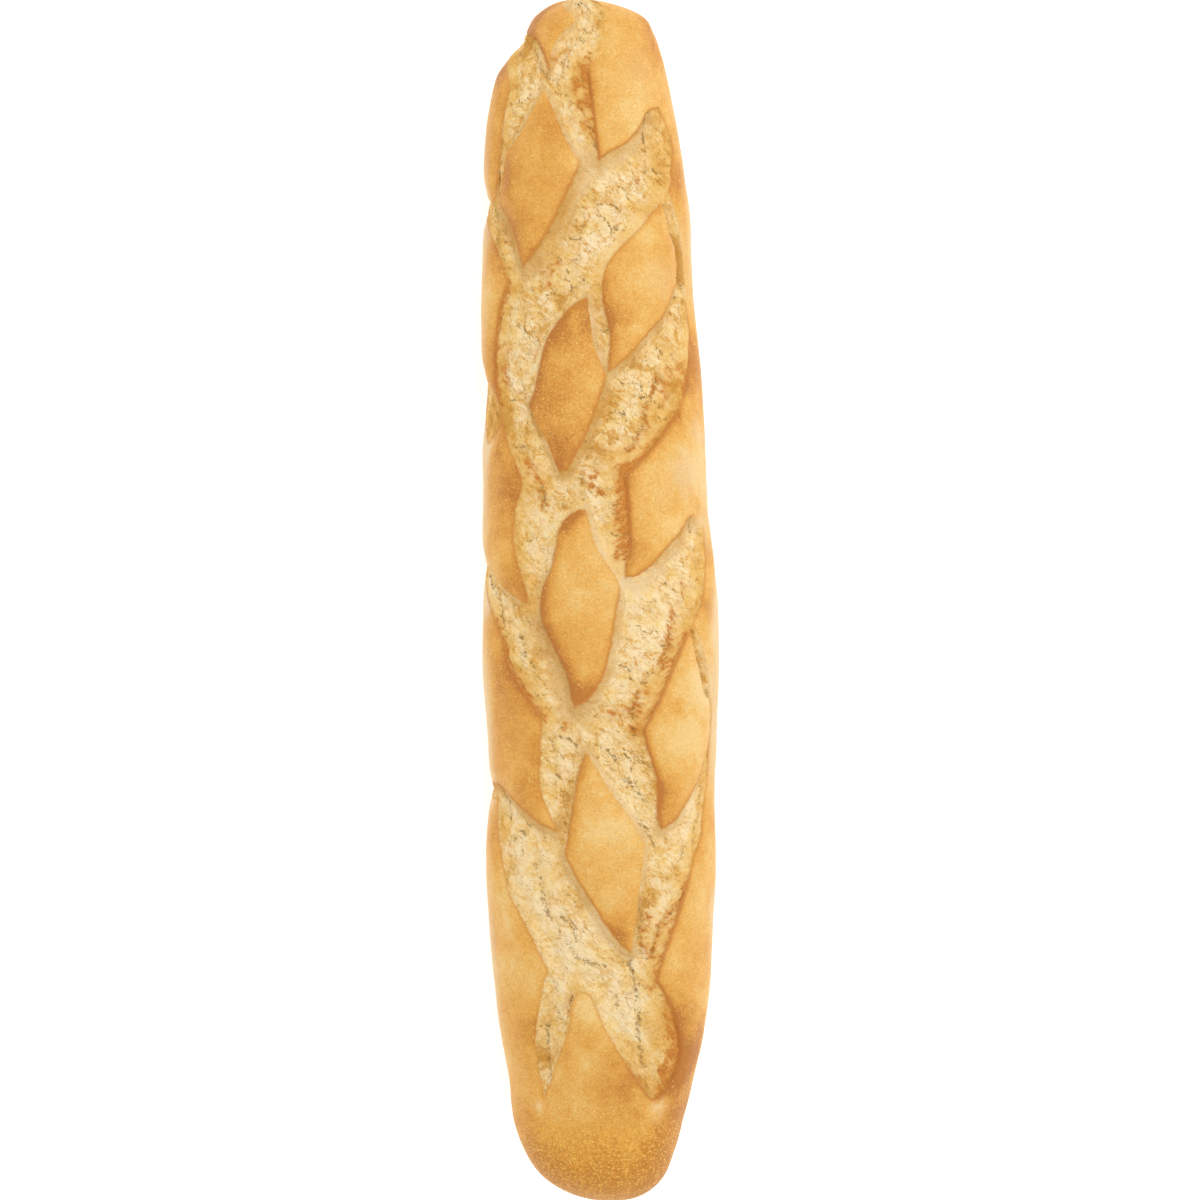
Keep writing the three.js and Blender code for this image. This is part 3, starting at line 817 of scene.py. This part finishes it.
# Places in the crumb that are lighter, or darker where the strength is below 0, from the top end down.
crumbSpots = [
    (-40, 188, 12, -0.8), (1, 181, 5, 0.5), (10, 181, 4, -0.4), (-30, 180, 8, -0.2), (3, 180, 7, 0.25),
    (-30, 172, 6, -0.2), (-5, 170, 8, -0.2), (-42, 160, 7, 0.3), (-31, 150, 7, -0.2), (0, 150, 6, 0.35),
    (36, 150, 12, -0.35), (5, 148, 7, 0.15), (22, 142, 8, -0.15), (33, 139, 7, -0.25), (42, 131, 5, -0.4),
    (-8, 126, 9, -0.35), (-34, 122, 9, -0.5), (20, 121, 7, 0.4), (-12, 120, 5, -0.3), (-10, 120, 6, -0.2),
    (-48, 118, 8, 0.1), (8, 116, 9, 0.4), (-12, 112, 9, -0.25), (40, 112, 10, -0.8), (-18, 110, 5, -0.4),
    (10, 110, 9, 0.6), (-19, 103, 8, -0.2), (-10, 98, 5, -0.4), (-13, 90, 5, 0.4), (-8, 90, 4, -0.3),
    (30, 90, 12, -0.25), (31, 90, 6, -0.3), (40, 90, 6, -0.3), (-21, 80, 6, 0.4), (0, 80, 5, 0.4),
    (15, 80, 7, -0.3), (-42, 66, 7, -0.4), (34, 66, 11, -0.35), (3, 63, 9, -0.45), (-50, 62, 9, -0.4),
    (-38, 60, 9, -0.7), (-20, 60, 7, -0.5), (16, 60, 7, -0.25), (-42, 57, 6, -0.4), (22, 51, 6, -0.3),
    (2, 50, 8, -0.4), (8, 41, 6, 0.4), (-6, 40, 5, -0.3), (-20, 36, 7, -0.25), (2, 32, 7, 0.4),
    (32, 28, 7, -0.6), (-14, 20, 10, 0.35), (-12, 20, 5, -0.4), (12, 18, 5, 0.4), (2, 15, 9, 0.6),
    (38, 15, 10, -0.1), (0, 14, 7, 0.4), (0, 12, 7, 0.5), (8, 8, 12, 0.6), (-48, 5, 10, 0.35),
    (-50, 2, 8, 0.5), (8, 2, 8, 0.3), (-29, -4, 7, -0.2), (31, -9, 5, -0.4), (20, -14, 12, 0.35),
    (-22, -17, 10, -0.35), (1, -18, 8, 0.2), (32, -19, 6, -0.6), (40, -31, 5, -0.4), (34, -32, 6, -0.3),
    (-20, -60, 6, 0.4), (22, -60, 5, -0.3), (-40, -61, 6, -0.3), (2, -61, 6, 0.3), (20, -61, 5, -0.3),
    (-16, -66, 9, -0.3), (8, -66, 10, 0.35), (42, -66, 6, 0.4), (-36, -68, 10, 0.2), (34, -68, 12, 0.4),
    (-20, -69, 6, 0.5), (1, -69, 6, -0.3), (42, -69, 6, 0.4), (18, -70, 6, 0.3), (40, -70, 9, 0.4),
    (-11, -71, 7, -0.2), (-8, -80, 5, 0.4), (-8, -90, 5, 0.3), (-40, -91, 6, -0.3), (-34, -92, 18, 0.25),
    (26, -99, 7, 0.4), (11, -102, 7, -0.6), (28, -102, 6, 0.2), (1, -104, 9, 0.45), (11, -104, 4, -0.3),
    (-14, -116, 14, 0.35), (12, -121, 5, 0.3), (6, -134, 13, 0.3), (24, -140, 9, -0.25),
    (-26, -150, 5, -0.5), (-22, -160, 7, 0.25), (31, -160, 6, -0.3), (22, -161, 7, -0.3),
]

# Golden places in the crumb, and toasted ones.
goldSpots = [
    (-40, 187, 9, 0.9), (-8, 174, 7, 0.3), (-33, 168, 6, 0.5), (-33, 150, 6, 0.6), (33, 146, 10, 0.7),
    (29, 137, 8, 0.6), (-30, 120, 7, 0.5), (-10, 118, 7, 0.3), (-12, 113, 9, 0.6), (-20, 102, 8, 0.4),
    (-27, 96, 8, 0.5), (-33, 88, 9, 0.5), (38, 82, 8, 0.7), (35, 75, 9, 0.9), (30, 70, 8, 0.6),
    (0, 64, 7, 0.6), (-50, 63, 10, 0.9), (24, 62, 9, 0.9), (-40, 60, 9, 0.9), (-26, 50, 7, 0.4),
    (-20, 40, 8, 0.7), (6, 40, 7, 0.3), (-23, 31, 6, 0.5), (32, 28, 6, 0.4), (-29, 14, 5, 0.6),
    (39, 10, 8, 0.8), (33, 1, 7, 0.7), (-44, -4, 8, 0.8), (28, -7, 5, 0.6), (-36, -13, 5, 0.5),
    (27, -14, 7, 0.7), (-22, -22, 8, 0.4), (22, -27, 6, 0.5), (18, -29, 6, 0.8), (-14, -43, 5, 0.4),
    (4, -43, 6, 0.4), (20, -61, 4, 0.6), (-40, -76, 6, 0.7), (-16, -78, 6, 0.3), (38, -78, 6, 0.7),
    (-36, -88, 6, 0.5), (33, -90, 5, 0.5), (-28, -102, 7, 0.3), (12, -104, 6, 0.5), (17, -108, 5, 0.4),
    (-20, -119, 6, 0.3), (15, -122, 6, 0.6), (16, -126, 5, 0.8), (21, -132, 7, 0.8), (-20, -137, 5, 0.5),
    (18, -138, 6, 0.9), (-25, -141, 5, 0.5), (23, -145, 8, 0.8), (-25, -150, 6, 0.6), (19, -150, 6, 0.8),
    (21, -158, 7, 0.7), (20, -160, 7, 0.6),
]

toastSpots = [
    (-14, 178, 4, 0.5), (-2, 169, 4, 0.6), (1, 164, 5, 0.7), (2, 156, 4, 0.6), (21, 138, 2.5, 0.4),
    (-38, 84, 4, 0.6), (-37, 74, 5, 0.7), (33, 74, 7, 0.5), (40, 74, 8, 0.6), (28, 68, 6, 0.5),
    (-39, 60, 4, 0.5), (19, 56, 4, 0.5), (-24, 43, 4, 0.4), (1, 37, 3, 0.4), (-19, 35, 4, 0.5),
    (9, 28, 4, 0.8), (9, 20, 3.5, 0.7), (-42, -9, 5, 0.7), (-38, -13, 3, 0.5), (24, -13, 4, 0.6),
    (22, -20, 4, 0.6), (15, -30, 4, 0.5), (12, -36, 4, 0.7), (13, -42, 4, 0.7), (26, -104, 5, 0.6),
    (22, -110, 3, 0.4), (11, -126, 3, 0.3), (18, -128, 3, 0.5), (-12, -132, 2.5, 0.4), (31, -143, 6, 0.9),
    (31, -150, 5, 1), (29, -156, 5, 0.9), (14, -157, 4, 0.5), (12, -160, 3, 0.7),
]

# How much lighter than the dips the flakes and the lumps are, which is partly painted shade in the dips
# and painted light on the raised parts, and how the toast follows the lumps.
crumbTone = {
    "flakes": 0.28,
    "lumps": 0.22,
    "toast": (0.8, 0.5),  # in the middle, and how much more on a lump
    "toastRaggedness": 0.8,
}


def crumbLooks(around, along, skin):
    # how light the crumb is, and where it is golden or toasted
    tone = crumbTone["flakes"] * skin["rough"] * skin["shade"] + crumbTone["lumps"] * skin["lumps"]
    tone += spotted(crumbSpots, around, along)
    gold = np.maximum(skin["gold"], spotted(goldSpots, around, along))
    level, more = crumbTone["toast"]
    toastedSpots = spotted(toastSpots, around, along, crumbTone["toastRaggedness"])
    toast = np.maximum(skin["toast"] * (level + more * skin["lumps"]), toastedSpots)
    toast = np.clip(np.maximum(toast, skin["stained"]), 0, 1)
    kept = ("edge", "wall", "dark", "line", "torn", "rough", "gilt", "gapShadow", "lean")
    return {"tone": tone, "gold": gold, "toast": toast, **{name: skin[name] for name in kept}}


def steadyOrder(turn, along):
    # subdividing adds its points in any order, so they are taken by their places, which makes the same
    # loaf each time
    own = loaf["segments"] * (loaf["rings"] - 1) + 2
    added = own + np.lexsort((turn[own:].round(6), along[own:].round(6)))
    return np.concatenate([np.arange(own), added])


def bakeLoaf(blank):
    # the ball becomes the loaf, with what the material needs as attributes of its points
    turn, along = placesOf(readVertices(blank))
    order = steadyOrder(turn, along)
    back = np.argsort(order)
    turn, along = turn[order], along[order]
    around = turn * loaf["aroundScale"]
    skin = readSkin(around, along)
    fade = slashFade(turn, along)
    mesh = blank.data
    mesh.vertices.foreach_set("co", (shapeSkin(turn, along, skin, fade)[back] / 1000).ravel())
    mesh.update()
    looks = {**crustLooks(turn, along, skin, fade), **crumbLooks(around, along, skin)}
    for name, values in looks.items():
        layer = mesh.attributes.new(name, "FLOAT", "POINT")
        layer.data.foreach_set("value", values[back].astype(np.float32))
    unrolled = np.stack([around, along, np.zeros(len(around))], axis=1)[back] / 1000
    layer = mesh.attributes.new("unrolled", "FLOAT_VECTOR", "POINT")
    layer.data.foreach_set("vector", unrolled.astype(np.float32).ravel())
    for polygon in mesh.polygons:
        polygon.use_smooth = True
    print("loaf baked:", len(mesh.vertices), "points")


def shown(red, green, blue):
    # a colour given as it shows on a screen, from 0 to 255
    def one(value):
        value = value / 255
        return value / 12.92 if value <= 0.04045 else ((value + 0.055) / 1.055) ** 2.4
    return (one(red), one(green), one(blue), 1)


# Colours that run through a few stops, and single colours laid over them, with how strongly they cover.
# cover says that for the runs that are laid over another.
bread = {
    "crust": [(0.0, shown(237, 198, 126)), (0.2, shown(233, 183, 99)), (0.4, shown(228, 169, 80)),
              (0.6, shown(219, 156, 66)), (0.8, shown(207, 141, 57)), (1.0, shown(189, 120, 46))],
    "darkCrust": (shown(170, 96, 26), 0.7),
    "cap": (shown(216, 148, 38), 0.4),
    "flankCream": (shown(232, 202, 154), 0.85),
    "blister": (shown(252, 206, 118), 0.85),
    "capSpeck": (shown(248, 190, 84), 0.8),
    "scar": (shown(244, 208, 152), 0.7),
    "crumb": [(0.0, shown(208, 154, 76)), (0.25, shown(228, 184, 110)), (0.5, shown(241, 204, 141)),
              (0.75, shown(247, 216, 161)), (1.0, shown(251, 226, 180))],
    "yolky": [(0.0, shown(202, 144, 60)), (0.25, shown(225, 174, 86)), (0.5, shown(239, 196, 113)),
              (0.75, shown(246, 211, 138)), (1.0, shown(252, 226, 170))],
    "wall": [(0.0, shown(208, 156, 80)), (0.4, shown(222, 179, 112)), (0.75, shown(231, 195, 138)),
             (1.0, shown(240, 208, 156))],
    "gold": [(0.0, shown(209, 148, 58)), (0.5, shown(232, 181, 94)), (1.0, shown(245, 206, 132))],
    "cover": {"yolky": 0.65, "wall": 0.85, "gold": 0.75},
    "streak": (shown(217, 154, 58), 0.8),
    "toast": (shown(209, 134, 50), 0.9),
    "darkToast": (shown(190, 112, 42), 0.7),
    # Painted shade in the crumb's gaps beside flakes, along its tears and in stray marks.
    "pitShade": (shown(150, 116, 58), 0.8),
    # Deeper painted shade in the tears' cracks.
    "deepPitShade": (shown(120, 90, 44), 0.5),
    # A thin brown line along a pad's edge: partly its browned cut, partly the lip's painted shadow on the
    # crumb.
    "edgeLineAndLipShadow": (shown(204, 134, 52), 0.8),
    # The crease's brown: toast, darkened by painted shade where the crust is undercut.
    "creaseBrownAndShade": (shown(184, 104, 38), 0.9),
    "roughness": (0.85, 0.55),  # crumb and crust
    "specular": 0.3,
    "bump": (0.6, 0.001),  # strength, and depth in metres
}

# Sizes of the patterns in the crust and in the crumb, in metres.
crustGrain = {
    "fine": 0.0007,
    "middling": 0.003,
    "mottle": 0.013,
    "squiggle": 0.0016,
    "speckZone": 0.004,
    "specks": (0.0022, 0.0014),
    "sparkle": 0.0009,
    "edgeWaver": 0.0016,
}

crumbGrain = {
    "fine": 0.0009,
    "middling": 0.0024,
    "broad": 0.008,
    "strand": (0.005, 0.0014),  # length and width
    "mark": (0.0015, 0.0006),
    "plate": 0.0055,
    "plateWobble": (0.0025, 0.003),  # size and reach
    "plateZone": 0.011,
    "yolkZone": 0.006,
    "wallZone": 0.006,
    "crack": 0.0022,
}


class Nodes:
    # a short way to add nodes and join them
    def __init__(self, tree):
        self.tree = tree

    def add(self, kind, inputs=None, **settings):
        node = self.tree.nodes.new("ShaderNode" + kind)
        for name, value in settings.items():
            setattr(node, name, value)
        for name, value in (inputs or {}).items():
            self.put(node.inputs[name], value)
        return node

    def put(self, socket, value):
        if isinstance(value, bpy.types.NodeSocket):
            self.tree.links.new(value, socket)
        else:
            socket.default_value = value

    def attribute(self, name, output="Fac"):
        return self.add("Attribute", attribute_name=name).outputs[output]

    def maths(self, operation, first, second=0.0, third=0.0):
        node = self.add("Math", operation=operation)
        for socket, value in zip(node.inputs, (first, second, third)):
            self.put(socket, value)
        return node.outputs[0]

    def times(self, first, *others):
        for other in others:
            first = self.maths("MULTIPLY", first, other)
        return first

    def timesPlus(self, value, factor, more):
        return self.maths("MULTIPLY_ADD", value, factor, more)

    def greatest(self, first, second):
        return self.maths("MAXIMUM", first, second)

    def sway(self, value, *swings):
        # a value with the ups and downs of textures on it: texture, amount, texture, amount
        for texture, amount in zip(swings[::2], swings[1::2]):
            value = self.timesPlus(self.maths("SUBTRACT", texture, 0.5), amount, value)
        return value

    def ramp(self, value, low, high, lowTo=0.0, highTo=1.0):
        node = self.add("MapRange", {"Value": value, "From Min": low, "From Max": high, "To Min": lowTo,
                                     "To Max": highTo}, interpolation_type="SMOOTHSTEP")
        return node.outputs["Result"]

    def lineAt(self, value, middle, outer, inner):
        # 1 where a value is nearest to middle, 0 further off than outer
        return self.ramp(self.maths("ABSOLUTE", self.maths("SUBTRACT", value, middle)), outer, inner)

    def mix(self, share, first, second):
        node = self.add("Mix", data_type="RGBA")
        for socket, value in zip((node.inputs[0], node.inputs[6], node.inputs[7]), (share, first, second)):
            self.put(socket, value)
        return node.outputs[2]

    def mixValue(self, share, first, second):
        node = self.add("Mix", data_type="FLOAT")
        for socket, value in zip(node.inputs[0:1] + node.inputs[2:4], (share, first, second)):
            self.put(socket, value)
        return node.outputs[0]

    def lay(self, under, name, *masks):
        # one of the bread's covering colours laid over what is under it, where the masks let it
        colour, strength = bread[name]
        return self.mix(self.times(*masks, strength), under, colour)

    def layRun(self, under, name, value, mask):
        # the same for colours that run through a few stops
        return self.mix(self.times(mask, bread["cover"][name]), under, self.colours(value, bread[name]))

    def colours(self, value, stops):
        # a colour ramp through (place, colour) stops
        node = self.add("ValToRGB", {"Fac": value})
        band = node.color_ramp.elements
        while len(band) < len(stops):
            band.new(0.5)
        for element, (place, colour) in zip(band, stops):
            element.position = place
            element.color = colour
        return node.outputs["Color"]

    def texture(self, vector, size, detail=3.0, roughness=0.55, distortion=0.0):
        node = self.add("TexNoise", {"Vector": vector, "Scale": 1 / size, "Detail": detail,
                                     "Roughness": roughness, "Distortion": distortion})
        return node.outputs["Fac"]

    def cells(self, vector, size, feature="F1"):
        node = self.add("TexVoronoi", {"Vector": vector, "Scale": 1 / size}, feature=feature)
        return node.outputs["Distance"]


def crustColour(n, place):
    # baked crust: golden to brown, mottled, with pale specks where tiny blisters stood up
    fine = n.texture(place, crustGrain["fine"], 3.0, 0.75)
    middling = n.texture(place, crustGrain["middling"])
    grainy = n.attribute("grainy")
    mottled = n.sway(n.attribute("brown"), n.texture(place, crustGrain["mottle"]), 0.7, middling, 0.4)
    mottled = n.sway(mottled, fine, n.maths("ADD", grainy, 0.9))
    colour = n.colours(mottled, bread["crust"])
    capped = n.ramp(grainy, 0.6, 1.0)
    colour = n.lay(colour, "darkCrust", n.ramp(mottled, 1.1, 2.6))
    colour = n.lay(colour, "cap", capped)
    pale = n.sway(n.attribute("cream"), middling, 0.3)
    colour = n.lay(colour, "flankCream", n.ramp(pale, 0.12, 0.95))

    zone = n.ramp(n.timesPlus(grainy, 0.16, n.texture(place, crustGrain["speckZone"], 2.0)), 0.42, 0.6)
    large, small = (n.cells(place, size) for size in crustGrain["specks"])
    specks = n.times(n.greatest(n.ramp(large, 0.2, 0.08), n.ramp(small, 0.2, 0.1)), zone)
    colour = n.lay(colour, "blister", specks)
    squiggles = n.lineAt(n.texture(place, crustGrain["squiggle"], 1.0), 0.5, 0.08, 0.03)
    colour = n.lay(colour, "capSpeck", squiggles, n.ramp(fine, 0.46, 0.54), capped)
    sparkle = n.texture(place, crustGrain["sparkle"], 2.0, 0.8)
    sparkle = n.sway(1.0, sparkle, n.timesPlus(grainy, 0.5, 0.25))
    colour = n.add("HueSaturation", {"Value": sparkle, "Color": colour}).outputs["Color"]
    colour = n.lay(colour, "scar", n.attribute("scar"), n.ramp(middling, 0.3, 0.6))
    height = n.sway(n.times(specks, 0.3), fine, 0.25)
    return colour, height


def slashWay(n):
    # where a place lies along and across the strands of its slash
    unrolled = n.attribute("unrolled", "Vector")
    ways = []
    for turned in (-relief["slant"], relief["slant"]):
        way = n.add("Mapping", {"Vector": unrolled, "Rotation": (0, 0, turned)}, vector_type="TEXTURE")
        ways.append(way.outputs[0])
    node = n.add("Mix", data_type="VECTOR")
    n.put(node.inputs[0], n.maths("GREATER_THAN", n.attribute("lean"), 0.5))
    n.put(node.inputs[4], ways[0])
    n.put(node.inputs[5], ways[1])
    return node.outputs[1]


def stretched(n, way, size, detail, roughness, distortion):
    # noise drawn out along the strands
    length, width = size
    drawn = n.add("Mapping", {"Vector": way, "Scale": (1 / length, 1 / width, 1)}).outputs[0]
    return n.texture(drawn, 1.0, detail, roughness, distortion)


def plateSeams(n, place):
    # distance to the seams between soft plates of crumb
    size, reach = crumbGrain["plateWobble"]
    wobble = n.add("TexNoise", {"Vector": place, "Scale": 1 / size, "Detail": 2.0}).outputs["Color"]
    wobbled = n.add("VectorMath", {0: wobble, 1: (reach, reach, reach), 2: place}, operation="MULTIPLY_ADD")
    return n.cells(wobbled.outputs[0], crumbGrain["plate"], "DISTANCE_TO_EDGE")


def crumbColour(n, place):
    # torn crumb: soft cream and yellow plates, strands, pale walls, golden skin, toasted rims and tears,
    # with painted shade in its gaps and cracks and beside the pads' edges
    way = slashWay(n)
    fine = n.texture(place, crumbGrain["fine"], 3.0, 0.7)
    middling = n.texture(place, crumbGrain["middling"], 3.0, 0.6, 0.3)
    broad = n.texture(place, crumbGrain["broad"], 2.0)
    strands = stretched(n, way, crumbGrain["strand"], 3.0, 0.6, 0.6)
    seams = plateSeams(n, place)
    uneven = n.timesPlus(n.attribute("rough"), 0.6, 0.3)

    tone = n.sway(n.maths("ADD", n.attribute("tone"), 0.46), broad, 0.7, strands, uneven)
    tone = n.sway(tone, middling, uneven, fine, 1.3)
    tone = n.timesPlus(n.ramp(n.attribute("edge"), -3, -9), 0.12, tone)
    yolky = n.ramp(n.sway(n.texture(place, crumbGrain["yolkZone"], 2.0), middling, 0.5), 0.42, 0.62)
    colour = n.layRun(n.colours(tone, bread["crumb"]), "yolky", tone, yolky)
    seamZone = n.ramp(n.texture(place, crumbGrain["plateZone"], 2.0), 0.46, 0.56)
    seamLines = n.times(n.ramp(seams, 0.08, 0.02), seamZone, n.ramp(middling, 0.42, 0.57), 0.9)
    streaks = n.times(n.lineAt(strands, 0.45, 0.025, 0.008), n.ramp(broad, 0.44, 0.56))
    streaks = n.times(n.greatest(streaks, seamLines), uneven)
    gilt = n.ramp(n.sway(n.attribute("gilt"), middling, 1.0, fine, 0.8), 0.3, 0.65)
    colour = n.lay(colour, "streak", n.greatest(streaks, gilt))

    ownTone = n.timesPlus(n.attribute("tone"), 0.8, 0.5)
    wallTone = n.sway(ownTone, n.texture(place, crumbGrain["wallZone"], 2.0), 0.8, middling, 0.5, fine, 1.0)
    # Painted shade: the wall is drawn darker close to the pad's edge, by as much as the edge's line says.
    wallShadeByEdge = n.ramp(n.attribute("edge"), -4.5, -0.4)
    wallTone = n.timesPlus(wallShadeByEdge, n.times(n.attribute("line"), -0.4), wallTone)
    rightward = n.add("SeparateXYZ", {0: n.attribute("unrolled", "Vector")}).outputs[0]
    wallTone = n.timesPlus(n.ramp(rightward, -0.02, 0.015), 0.2, wallTone)
    walled = n.ramp(n.sway(n.attribute("wall"), middling, 0.8), 0.25, 0.75)
    colour = n.layRun(colour, "wall", wallTone, walled)
    golden = n.ramp(n.sway(n.attribute("gold"), middling, 1.0), 0.2, 0.8)
    goldTone = n.sway(ownTone, broad, 0.8, middling, 0.9, fine, 1.2)
    colour = n.layRun(colour, "gold", goldTone, golden)
    toasted = n.sway(n.attribute("toast"), strands, 2.0, middling, 1.2, fine, 1.2)
    toasted = n.times(n.ramp(toasted, 0.1, 0.9), n.ramp(n.attribute("toast"), 0.02, 0.4))
    colour = n.lay(colour, "toast", toasted)
    colour = n.lay(colour, "darkToast", n.ramp(toasted, 0.65, 1.1), n.ramp(fine, 0.42, 0.58))

    # Painted shade: dark pits in the gaps beside the flakes, along the tears and in stray marks.
    marks = stretched(n, way, crumbGrain["mark"], 2.0, 0.55, 1.6)
    nearTear = n.attribute("torn")
    gapShadows = n.ramp(n.sway(n.attribute("gapShadow"), marks, 2.6), 0.5, 0.8)
    hairs = n.times(n.ramp(marks, 0.56, 0.6), n.ramp(n.sway(nearTear, middling, 1.2), 0.3, 0.75))
    stray = n.times(n.ramp(marks, 0.65, 0.69), n.ramp(broad, 0.45, 0.55))
    stray = n.times(stray, n.maths("SUBTRACT", 1.0, golden), 0.8)
    dark = n.greatest(n.greatest(hairs, gapShadows), stray)
    colour = n.lay(colour, "pitShade", dark, n.timesPlus(toasted, -0.5, 1.0))
    # Deeper painted shade in the cracks along the tears.
    crack = n.sway(nearTear, fine, 1.0, n.texture(place, crumbGrain["crack"], 1.0), 1.6)
    deepest = n.times(n.ramp(nearTear, 0.5, 0.9), n.ramp(marks, 0.57, 0.63))
    colour = n.lay(colour, "deepPitShade", n.greatest(deepest, n.ramp(crack, 0.88, 1.0)))

    height = n.sway(0.0, strands, 0.8, middling, 0.9, fine, 0.7)
    height = n.timesPlus(n.ramp(seams, 0.12, 0.0), -0.25, height)
    height = n.timesPlus(dark, -0.5, height)
    return colour, height


def breadMaterial():
    material = bpy.data.materials.new("bakedBread")
    material.use_nodes = True
    tree = material.node_tree
    tree.nodes.clear()
    n = Nodes(tree)
    place = n.add("TexCoord").outputs["Object"]
    edge = n.sway(n.attribute("edge"), n.texture(place, crustGrain["edgeWaver"], 2.0), 0.7)
    inCrust = n.ramp(edge, -0.25, 0.2)
    crust, crustHeight = crustColour(n, place)
    crumb, crumbHeight = crumbColour(n, place)
    colour = n.mix(inCrust, crumb, crust)
    # Painted shadow with browning: a thin brown line where the pad's lip shades the crumb.
    colour = n.lay(colour, "edgeLineAndLipShadow", n.lineAt(edge, 0.15, 0.75, 0.1), n.attribute("line"))
    # Painted shade with browning in the undercut crease, as strong as the edge's dark says.
    colour = n.lay(colour, "creaseBrownAndShade", n.lineAt(edge, 0.2, 1.3, 0.1), n.attribute("dark"))

    strength, depth = bread["bump"]
    height = n.mixValue(inCrust, crumbHeight, crustHeight)
    bump = n.add("Bump", {"Height": height, "Strength": strength, "Distance": depth})
    shader = n.add("BsdfPrincipled", {
        "Base Color": colour, "Roughness": n.ramp(inCrust, 0, 1, *bread["roughness"]),
        "Normal": bump.outputs["Normal"], "Specular IOR Level": bread["specular"]})
    output = n.add("OutputMaterial")
    tree.links.new(shader.outputs[0], output.inputs["Surface"])
    print("bread material made")
    return material


# A white room: a glowing floor, a white sky and one soft lamp. Metres.
studio = {
    "floor": shown(252, 252, 252),
    "floorRoughness": 0.9,
    "floorGlow": 0.5,
    "floorSize": 6,
    "floorGap": 0.0002,  # under the loaf
    "white": (1, 1, 1, 1),
    "sky": 0.8,
    "lens": 150,
    "sensor": 36,
    "lamp": {"at": (0.3, 0.35, 1.0), "size": 0.6, "power": 3.5, "colour": (1, 0.99, 0.97)},
}


def layFloor():
    bpy.ops.object.select_all(action="DESELECT")
    height = loafLow[2] / 1000 - studio["floorGap"]
    bpy.ops.mesh.primitive_plane_add(size=studio["floorSize"], location=(0, 0, height))
    floor = bpy.context.object
    floor.name = "floor"
    bpy.ops.object.transform_apply(location=True, rotation=True, scale=True)
    material = bpy.data.materials.new("floorWhite")
    material.use_nodes = True
    shader = material.node_tree.nodes["Principled BSDF"]
    shader.inputs["Base Color"].default_value = studio["floor"]
    shader.inputs["Roughness"].default_value = studio["floorRoughness"]
    shader.inputs["Emission Color"].default_value = studio["white"]
    shader.inputs["Emission Strength"].default_value = studio["floorGlow"]
    floor.data.materials.append(material)


def lightStudio():
    world = bpy.data.worlds.new("studio")
    world.use_nodes = True
    sky = world.node_tree.nodes["Background"]
    sky.inputs["Color"].default_value = studio["white"]
    sky.inputs["Strength"].default_value = studio["sky"]
    bpy.context.scene.world = world
    lamp = studio["lamp"]
    data = bpy.data.lights.new("key", "AREA")
    data.shape = "DISK"
    data.size = lamp["size"]
    data.energy = lamp["power"]
    data.color = lamp["colour"]
    light = bpy.data.objects.new("key", data)
    light.location = lamp["at"]
    light.rotation_euler = light.location.to_track_quat("Z", "Y").to_euler()
    bpy.context.scene.collection.objects.link(light)


def placeCamera():
    # straight above, with the loaf's length filling the frame
    data = bpy.data.cameras.new("camera")
    data.lens = studio["lens"]
    data.sensor_width = studio["sensor"]
    camera = bpy.data.objects.new("camera", data)
    away = loaf["length"] / 1000 * studio["lens"] / studio["sensor"]
    camera.location = (0, 0, loaf["waist"] / 1000 + away)
    bpy.context.scene.collection.objects.link(camera)
    bpy.context.scene.camera = camera
    bpy.context.scene.view_settings.view_transform = "Standard"


layFloor()
lightStudio()
placeCamera()
print("studio built")

loafPiece = sphereBlank()
refineSlashes(loafPiece)
bakeLoaf(loafPiece)
loafPiece.data.materials.append(breadMaterial())
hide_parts("loaf")
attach(loafPiece, "root")
